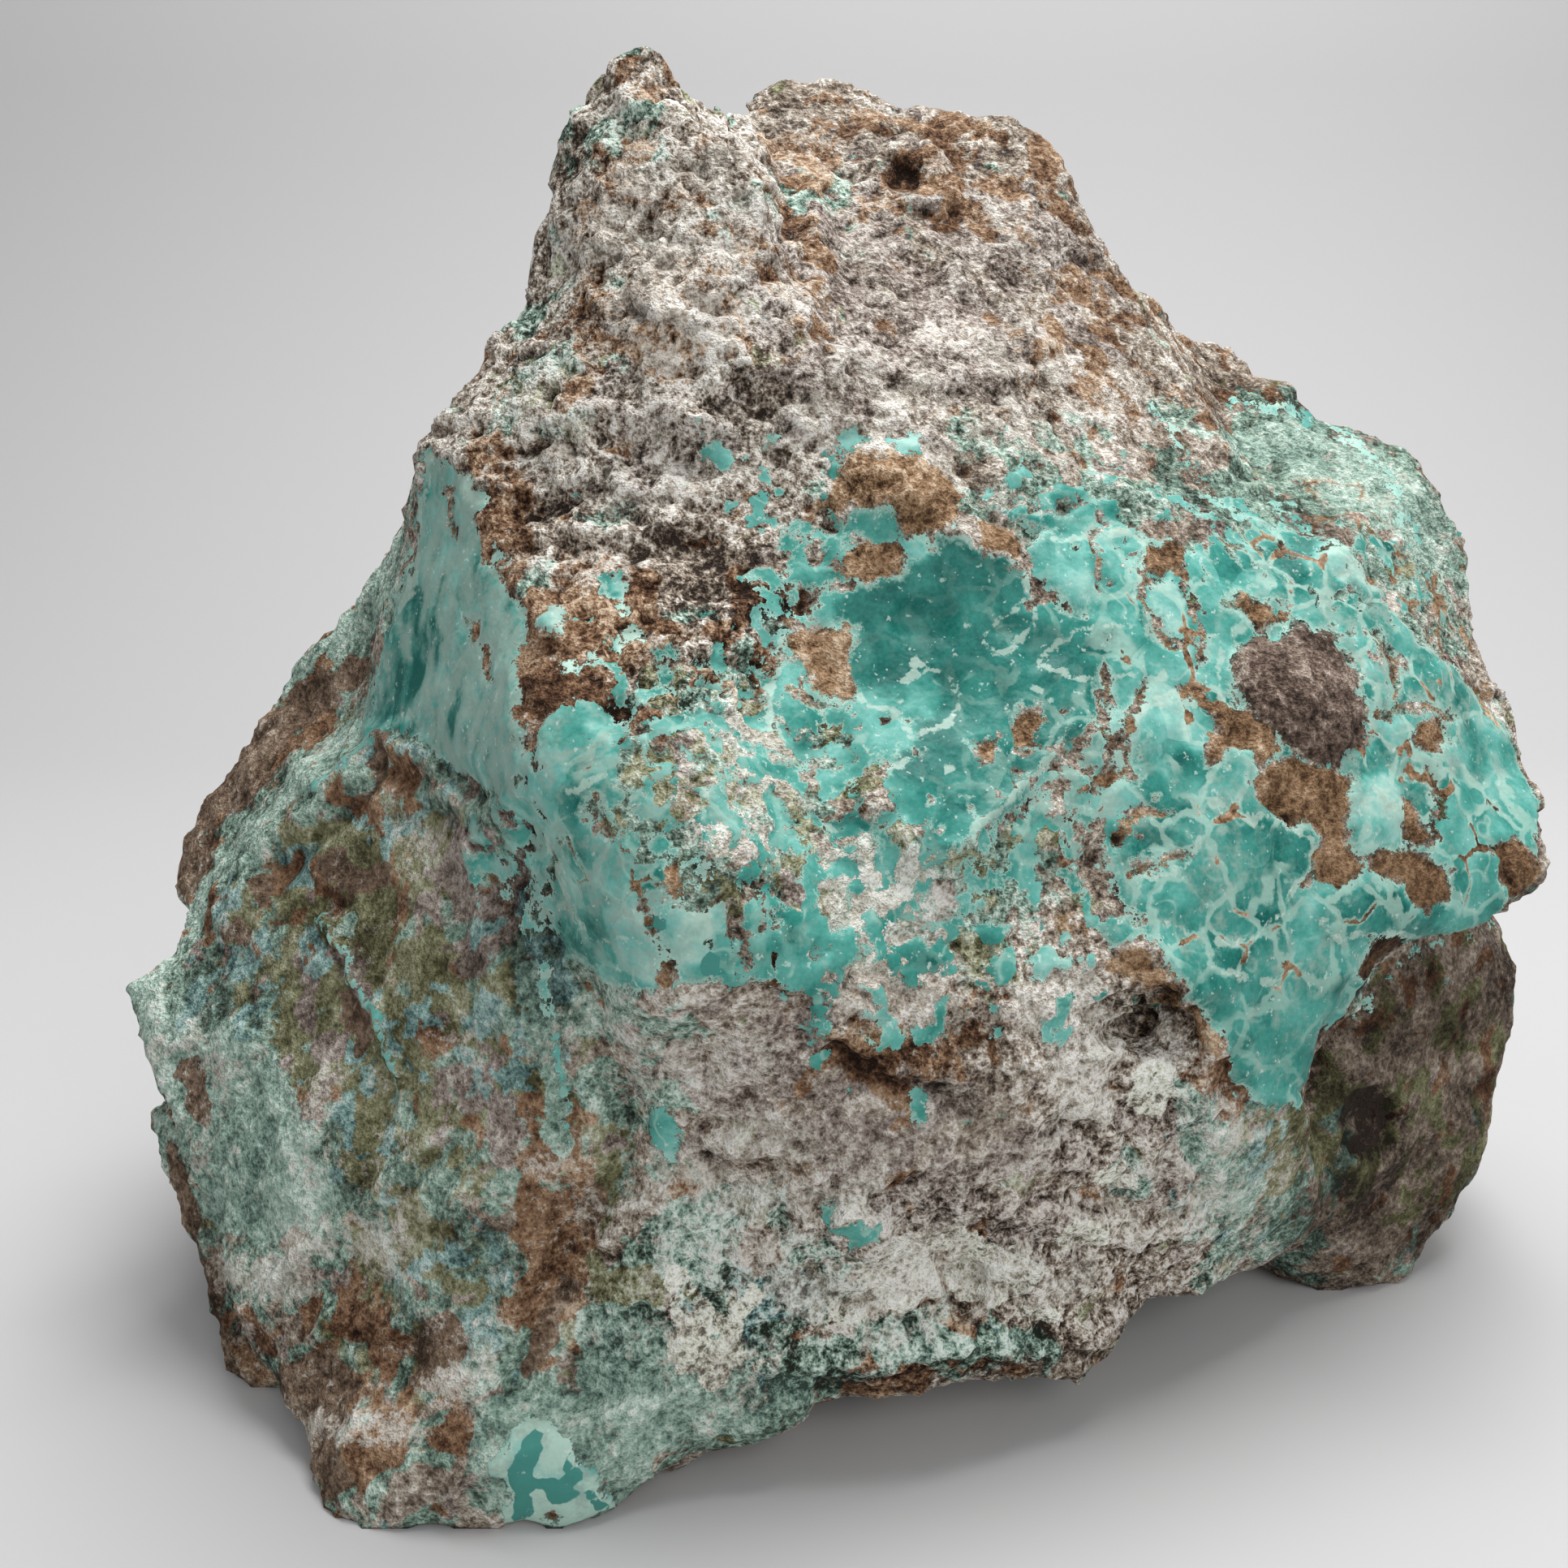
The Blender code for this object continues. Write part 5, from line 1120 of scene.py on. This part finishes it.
def turquoise_colour(paint, fine, edge, gate, cells, cell_colour, border, depth_inside):
    """Clouded turquoise with pale rims and bands, chalky veils and white specks."""
    cell_tone = paint.fill(paint.add("ShaderNodeSeparateColor"), {0: cell_colour})
    teal = paint.total(paint.field("teal"), paint.about(fine, TEAL_SPREAD),
                       paint.times(paint.about(cell_tone, TEAL_SPREAD), cells))
    not_deep = paint.fade("not deep", teal)
    colour = paint.mix(paint.fade("palest", teal), paint.ramp(teal, TEAL_STOPS), RIM_PALE)
    bands = paint.fade("bands", paint.sum("PINGPONG", paint.times(paint.noise("bands"), 12.0), 1.0))
    bands = paint.times(paint.times(bands, paint.fade("band gate", gate)), not_deep)
    colour = paint.over("bands", bands, colour, RIM_PALE)
    cell_rim = paint.fade("cell rim", paint.scaled(edge, TEARS["cell rim"], border))
    cell_rim = paint.times(paint.times(cell_rim, paint.fade("cell gate", gate)), cells)
    colour = paint.over("cell rim", cell_rim, colour, RIM_PALE)
    colour = paint.over("rim", rim_of(paint, gate, depth_inside), colour, RIM_PALE)
    pale = paint.fade("pale", paint.scaled(edge, TEARS["pale"], paint.field("pale")))
    colour = paint.over("pale", pale, colour, CRUST_WHITE)
    veil = paint.fade("veil", paint.scaled(paint.field("veil"), 0.36, paint.noise("chalk")))
    colour = paint.over("veil", paint.times(veil, not_deep), colour, CHALK_GREEN)
    mapped = paint.fade("map", paint.scaled(edge, TEARS["map"], paint.field("map")))
    colour = paint.mix(mapped, colour, MAP_TEAL)
    return paint.over("specks", paint.fade("specks", paint.noise("specks")), colour, SPECK_WHITE)


def rim_of(paint, gate, depth_inside):
    """The turquoise's pale rim, 1 at its edge and 0 further in than a width that changes along it."""
    width = paint.scaled(paint.fade("rim gate", gate), 1.1, 0.15)
    node = paint.add("ShaderNodeMapRange", interpolation_type="SMOOTHSTEP")
    return paint.fill(node, {"Value": depth_inside, "From Min": width, "From Max": 0.0})


def make_stone(solid):
    """The visual piece: the solid's copy, refined, marked, raised and painted."""
    stone = copy_of_solid(solid)
    even_out(stone)
    refine_front(stone)
    surface = Surface(stone.data)
    ground = Ground(surface)
    crust, inclusion = lay_out_fields(surface, ground)
    store_layers(surface, ground)
    rough = lay_out_rough(ground)
    surface.store("rough", rough)
    raise_relief(surface, relief(ground, crust, inclusion, rough), *lay_out_tone(ground))
    stone.data.materials.clear()
    stone.data.materials.append(stone_material())
    stone.data.shade_smooth()
    return stone


def plain_material(name, colour, roughness):
    paint = Paint(name)
    paint.shader.inputs["Base Color"].default_value = (*colour, 1)
    paint.shader.inputs["Roughness"].default_value = roughness
    return paint.material


def make_stage():
    """A pale floor that curves up into a pale wall, all round the back."""
    curve_start = FLOOR_BACK - STAGE_CURVE
    profile = [(FLOOR_FRONT, 0.0), (curve_start, 0.0)]
    for step in range(1, CURVE_STEPS + 1):
        angle = math.radians(90 * step / CURVE_STEPS)
        profile.append((curve_start + STAGE_CURVE * math.sin(angle),
                        STAGE_CURVE - STAGE_CURVE * math.cos(angle)))
    profile.append((FLOOR_BACK, WALL_TOP))
    verts = [(x, y, z) for y, z in profile for x in (-STAGE_HALF_WIDTH, STAGE_HALF_WIDTH)]
    faces = [(2 * i, 2 * i + 1, 2 * i + 3, 2 * i + 2) for i in range(len(profile) - 1)]
    mesh = bpy.data.meshes.new("backdrop")
    mesh.from_pydata(verts, [], faces)
    mesh.shade_smooth()
    mesh.materials.append(plain_material("backdrop_paper", BACKDROP_COLOUR, BACKDROP_ROUGHNESS))
    backdrop = in_scene("backdrop", mesh)


def make_camera():
    camera = bpy.data.cameras.new("camera")
    camera.sensor_width = SENSOR_WIDTH
    camera.lens = SENSOR_WIDTH * SHEET_DISTANCE / (PICTURE_WIDTH * MM)
    camera.clip_start = CAMERA_NEAR
    holder = in_scene("camera", camera)
    holder.location = STATION
    holder.rotation_euler = (math.radians(90) - SIGHT_PITCH, 0, 0)
    bpy.context.scene.camera = holder


def make_lights():
    """Two soft lights that face the stone, and a pale sky."""
    for name, (place, size, power) in LIGHTS.items():
        light = bpy.data.lights.new(name, "AREA")
        light.size = size
        light.energy = power
        holder = in_scene(name, light)
        holder.location = place
        holder.rotation_euler = (Vector(LIGHTS_AIM) - Vector(place)).to_track_quat("-Z", "Y").to_euler()
    world = bpy.data.worlds.new("studio")
    world.use_nodes = True
    background = world.node_tree.nodes["Background"]
    background.inputs["Color"].default_value = SKY_COLOUR
    background.inputs["Strength"].default_value = SKY_STRENGTH
    bpy.context.scene.world = world
    bpy.context.scene.view_settings.view_transform = "Standard"


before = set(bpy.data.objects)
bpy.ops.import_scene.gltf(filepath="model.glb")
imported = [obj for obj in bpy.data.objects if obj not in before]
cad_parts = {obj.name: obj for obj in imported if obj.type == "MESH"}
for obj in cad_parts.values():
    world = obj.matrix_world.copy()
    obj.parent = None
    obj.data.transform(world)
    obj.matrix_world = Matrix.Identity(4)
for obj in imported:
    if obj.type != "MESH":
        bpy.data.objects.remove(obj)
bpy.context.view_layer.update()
make_camera()
make_stage()
make_lights()
nugget = make_stone(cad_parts["turquoise_nugget"])
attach(nugget, "root")
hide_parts("turquoise_nugget")
